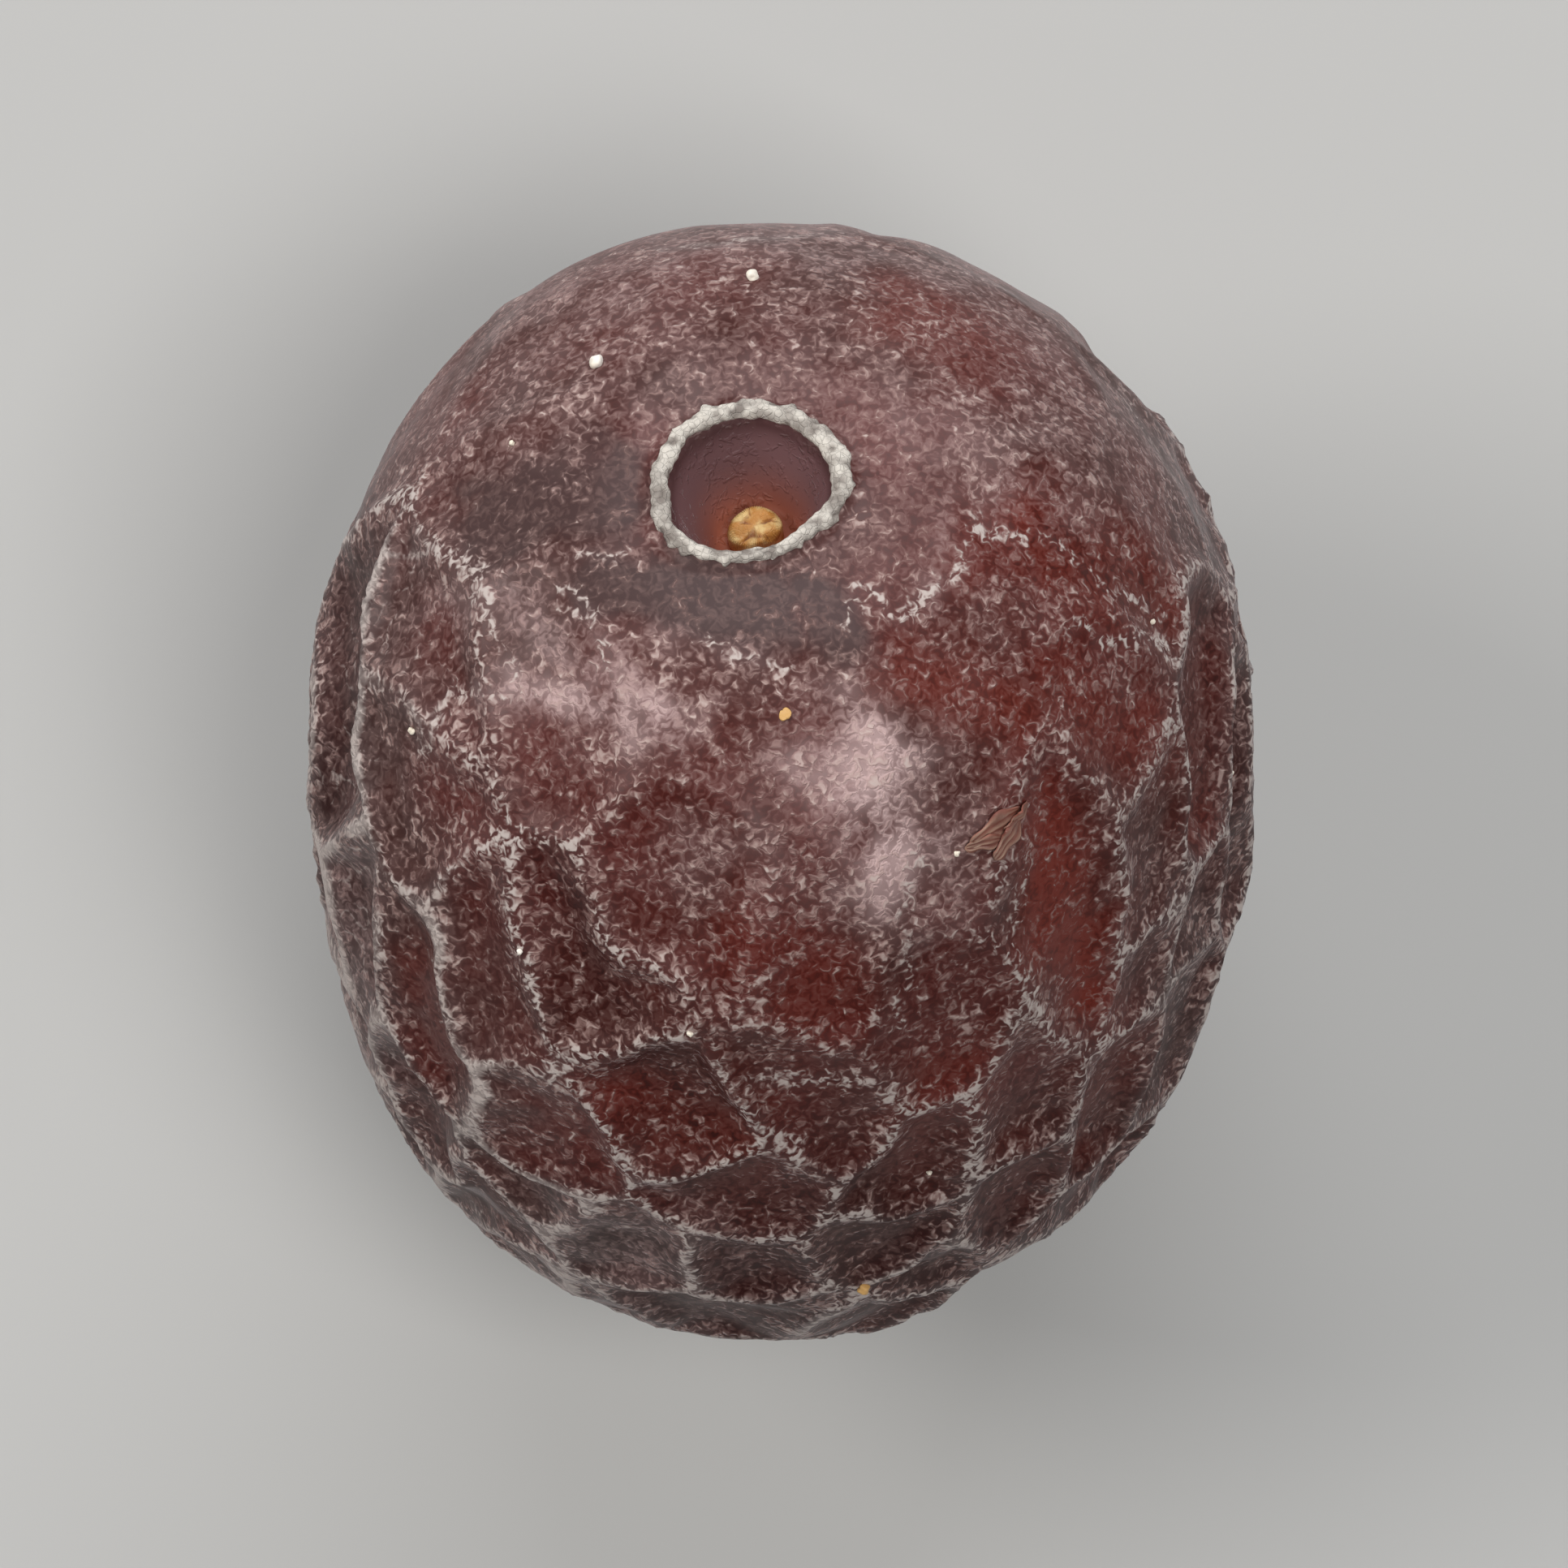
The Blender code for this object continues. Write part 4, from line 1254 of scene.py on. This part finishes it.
# The film's colour also paints the soft highlights.
FILM_AND_HIGHLIGHT_MAUVE = (0.560, 0.405, 0.395, 1.0)
FLANK_GREY = (0.074, 0.054, 0.051, 1.0)
GAP_AND_SHADE_DARK = (0.026, 0.004, 0.003, 1.0)
FROST_PINK = (0.290, 0.180, 0.162, 1.0)
FROST_PALE = (0.580, 0.470, 0.430, 1.0)
RIDGE_DUST_AND_RIM_SHEEN = (0.500, 0.440, 0.410, 1.0)
PIT_MAROON = (0.172, 0.090, 0.095, 1.0)
PIT_AMBER = (0.420, 0.110, 0.045, 1.0)
SKIN_SURFACE = {
    "Sheen Weight": 0.20,
    "Sheen Roughness": 0.17,
    "Sheen Tint": (0.86, 0.80, 0.82, 1.0),
    "Specular IOR Level": 0.19,
}


def skin_base(tree, frost_here, frost):
    """The skin's own colour under the frost, with painted shade mixed in, and the film over it, which also
    paints soft highlights.
    """
    red = painted(tree, "red")
    colour = mix_colours(tree, painted(tree, "broad"), BROWN_RED, DEEP_RED)
    colour = mix_colours(tree, red, colour, BRIGHT_RED)
    grey = times(tree, painted(tree, "lace"), mix_values(tree, painted(tree, "cell"), 0.80, 0.35))
    colour = mix_colours(tree, grey, colour, FLANK_GREY)
    # Painted shade: the shade mask takes the skin toward the same near black as the gaps between the flecks.
    gaps_and_shade = sum_up(tree, "MULTIPLY_ADD", frost["Gaps"], 0.50, painted(tree, "shade"), clamp=True)
    colour = mix_colours(tree, gaps_and_shade, colour, GAP_AND_SHADE_DARK)
    colour = mix_colours(tree, times(tree, painted(tree, "dark"), 0.85), colour, DARK_MAUVE)
    speckled = times(tree, frost["Soft"], mix_values(tree, red, 0.20, 0.06))
    colour = mix_colours(tree, speckled, colour, FROST_PINK)
    film_and_highlight = sum_up(tree, "MULTIPLY_ADD", frost_here, 0.10, -0.06)
    veil = mix_values(tree, frost["Soft"], 0.28, 0.86)
    film_and_highlight = sum_up(tree, "MULTIPLY_ADD", painted(tree, "haze_and_highlight"), veil, film_and_highlight, clamp=True)
    return mix_colours(tree, film_and_highlight, colour, FILM_AND_HIGHLIGHT_MAUVE)


def ridge_dust_and_rim_sheen(tree, frost):
    """Pale dust along the ridges, and painted sheen along the outline: whole on the grey flanks, broken into
    flecks by the frost elsewhere.
    """
    lace_here = painted(tree, "lace")
    winding = use_group(tree, LACE, per_mm=1.2, width=0.05)["Mask"]
    line = sum_up(tree, "MAXIMUM", painted(tree, "ridge_and_rim_sheen"), times(tree, winding, times(tree, lace_here, 0.55)))
    fray = mix_values(tree, lace_here, 1.8, 0.7)
    frayed = sum_up(tree, "MULTIPLY_ADD", sum_up(tree, "SUBTRACT", frost["Noise"], 0.5), fray, line)
    whole = mix_values(tree, lace_here, frost["Mask"], 1.0)
    return times(tree, sum_up(tree, "MULTIPLY_ADD", frayed, 2.2, -0.80, clamp=True), whole)


def skin_finish():
    material, tree, shader = new_material("dried_skin")
    frost_here, pit = painted(tree, "frost"), painted(tree, "pit")
    frost = use_group(tree, FROST, per_mm=5.0, amount=frost_here)
    dust_and_rim_sheen = ridge_dust_and_rim_sheen(tree, frost)

    colour = skin_base(tree, frost_here, frost)
    colour = mix_colours(tree, times(tree, frost["Mask"], 0.62), colour, FROST_PINK)
    colour = mix_colours(tree, times(tree, frost["Bright"], 0.62), colour, FROST_PALE)
    colour = mix_colours(tree, times(tree, dust_and_rim_sheen, 0.85), colour, RIDGE_DUST_AND_RIM_SHEEN)
    pit_colour = mix_colours(tree, painted(tree, "glow"), PIT_MAROON, PIT_AMBER)
    # Painted shadow in the pit under the ring's inner edge.
    pit_colour = mix_colours(tree, painted(tree, "shade"), pit_colour, GAP_AND_SHADE_DARK)

    dull = sum_up(tree, "MULTIPLY_ADD", frost["Mask"], 0.14, 0.42)
    dull = mix_values(tree, pit, sum_up(tree, "MULTIPLY_ADD", dust_and_rim_sheen, 0.20, dull), 0.42)
    wire_up(tree, shader, mix_colours(tree, pit, colour, pit_colour), dull, frost["Mask"], 0.6, 0.00004)
    for socket, value in SKIN_SURFACE.items():
        shader.inputs[socket].default_value = value
    return material


skin_material = skin_finish()
print("skin finish:", len(skin_material.node_tree.nodes), "nodes")

# %% [markdown]
# ## Cork, stalk, torn skin and crumbs
# The ring and the scar are dry cork: pale greenish grey, darker in their hollows. The stub is amber,
# darker in its cracks. The tear is dry red-brown skin, paler on its folds, and the crumbs are near
# white or amber. Both take one mottled finish, with a tint where a number is painted on them.

# %% The other materials
CORK_COLOURS = {
    "ring_cork": ((0.60, 0.56, 0.50, 1.0), (0.20, 0.17, 0.15, 1.0)),
    "scar_cork": ((0.50, 0.44, 0.36, 1.0), (0.15, 0.10, 0.08, 1.0)),
}
STUB_AMBERS, CRACK_BROWN = ((0.56, 0.25, 0.055, 1.0), (0.84, 0.61, 0.27, 1.0)), (0.25, 0.09, 0.03, 1.0)
TORN_REDS, FOLD_PALE = ((0.13, 0.030, 0.022, 1.0), (0.24, 0.080, 0.055, 1.0)), (0.50, 0.34, 0.25, 1.0)
CRUMB_WHITES, CRUMB_AMBER = ((0.80, 0.72, 0.58, 1.0), (0.90, 0.86, 0.80, 1.0)), (0.62, 0.36, 0.12, 1.0)
FLOOR_GREY, FLOOR_ROUGHNESS = (0.46, 0.46, 0.45, 1.0), 0.85


def cork_finish(name):
    pale, dark = CORK_COLOURS[name]
    material, tree, shader = new_material(name)
    blotches = use_group(tree, BLOTCHES, per_mm=1.5)
    grain = use_group(tree, GRAIN, per_mm=7.0, pores=0.5)
    knobs = ramp(tree, painted(tree, "knob"), 0.25, 0.6)
    share = times(tree, knobs, ramp(tree, blotches["Close"], 0.0, 0.6, 0.45, 1.0))
    dull = ramp(tree, blotches["Broad"], 0.0, 1.0, 0.7, 0.9)
    wire_up(tree, shader, mix_colours(tree, share, dark, pale), dull, grain["Height"], 0.8, 0.00004)
    return material


def stub_finish():
    material, tree, shader = new_material("amber_stalk")
    blotches = use_group(tree, BLOTCHES, per_mm=2.0)
    grain = use_group(tree, GRAIN, per_mm=9.0, pores=0.4)
    stains = ramp(tree, patchy(tree, millimetres(tree), 2.6, detail=2.0), 0.36, 0.62)
    amber = mix_colours(tree, stains, *STUB_AMBERS)
    amber = mix_colours(tree, painted(tree, "crack"), amber, CRACK_BROWN)
    dull = ramp(tree, blotches["Broad"], 0.0, 1.0, 0.35, 0.55)
    wire_up(tree, shader, amber, dull, grain["Height"], 0.5, 0.00003)
    return material


def mottled_finish(name, tones, mask, tint, smoothest):
    """Two tones in blotches, with a tint where the mask is painted."""
    material, tree, shader = new_material(name)
    blotches = use_group(tree, BLOTCHES, per_mm=3.0)
    grain = use_group(tree, GRAIN, per_mm=6.0, pores=0.2)
    colour = mix_colours(tree, blotches["Close"], *tones)
    colour = mix_colours(tree, painted(tree, mask), colour, tint)
    dull = ramp(tree, blotches["Broad"], 0.0, 1.0, smoothest, 0.7)
    wire_up(tree, shader, colour, dull, grain["Height"], 0.3, 0.00002)
    return material


def floor_finish():
    material, _, shader = new_material("pale_floor")
    shader.inputs["Base Color"].default_value = FLOOR_GREY
    shader.inputs["Roughness"].default_value = FLOOR_ROUGHNESS
    return material


def finish_with(piece, material):
    piece.data.materials.clear()
    piece.data.materials.append(material)


finish_with(fruit_skin, skin_material)
finish_with(stem_ring, cork_finish("ring_cork"))
finish_with(style_scar, cork_finish("scar_cork"))
finish_with(stalk_stub, stub_finish())
finish_with(skin_tear, mottled_finish("torn_skin", TORN_REDS, "fold", FOLD_PALE, 0.45))
finish_with(dust_grains, mottled_finish("pale_grains", CRUMB_WHITES, "amber", CRUMB_AMBER, 0.4))
finish_with(floor, floor_finish())
print("materials:", sorted(material.name for material in bpy.data.materials))

# %% [markdown]
# ## Tie the pieces to the part
# The fruit has no joints, so every piece rides on its one body. The skin stands for the solid, which
# stays in the simulation for collision.

# %% Ride and replace
pieces = (fruit_skin, stem_ring, stalk_stub, style_scar, skin_tear, dust_grains)
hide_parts("jujube")
for piece in pieces:
    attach(piece, "root")
print("all triangles:", sum(count_triangles(piece) for piece in pieces))
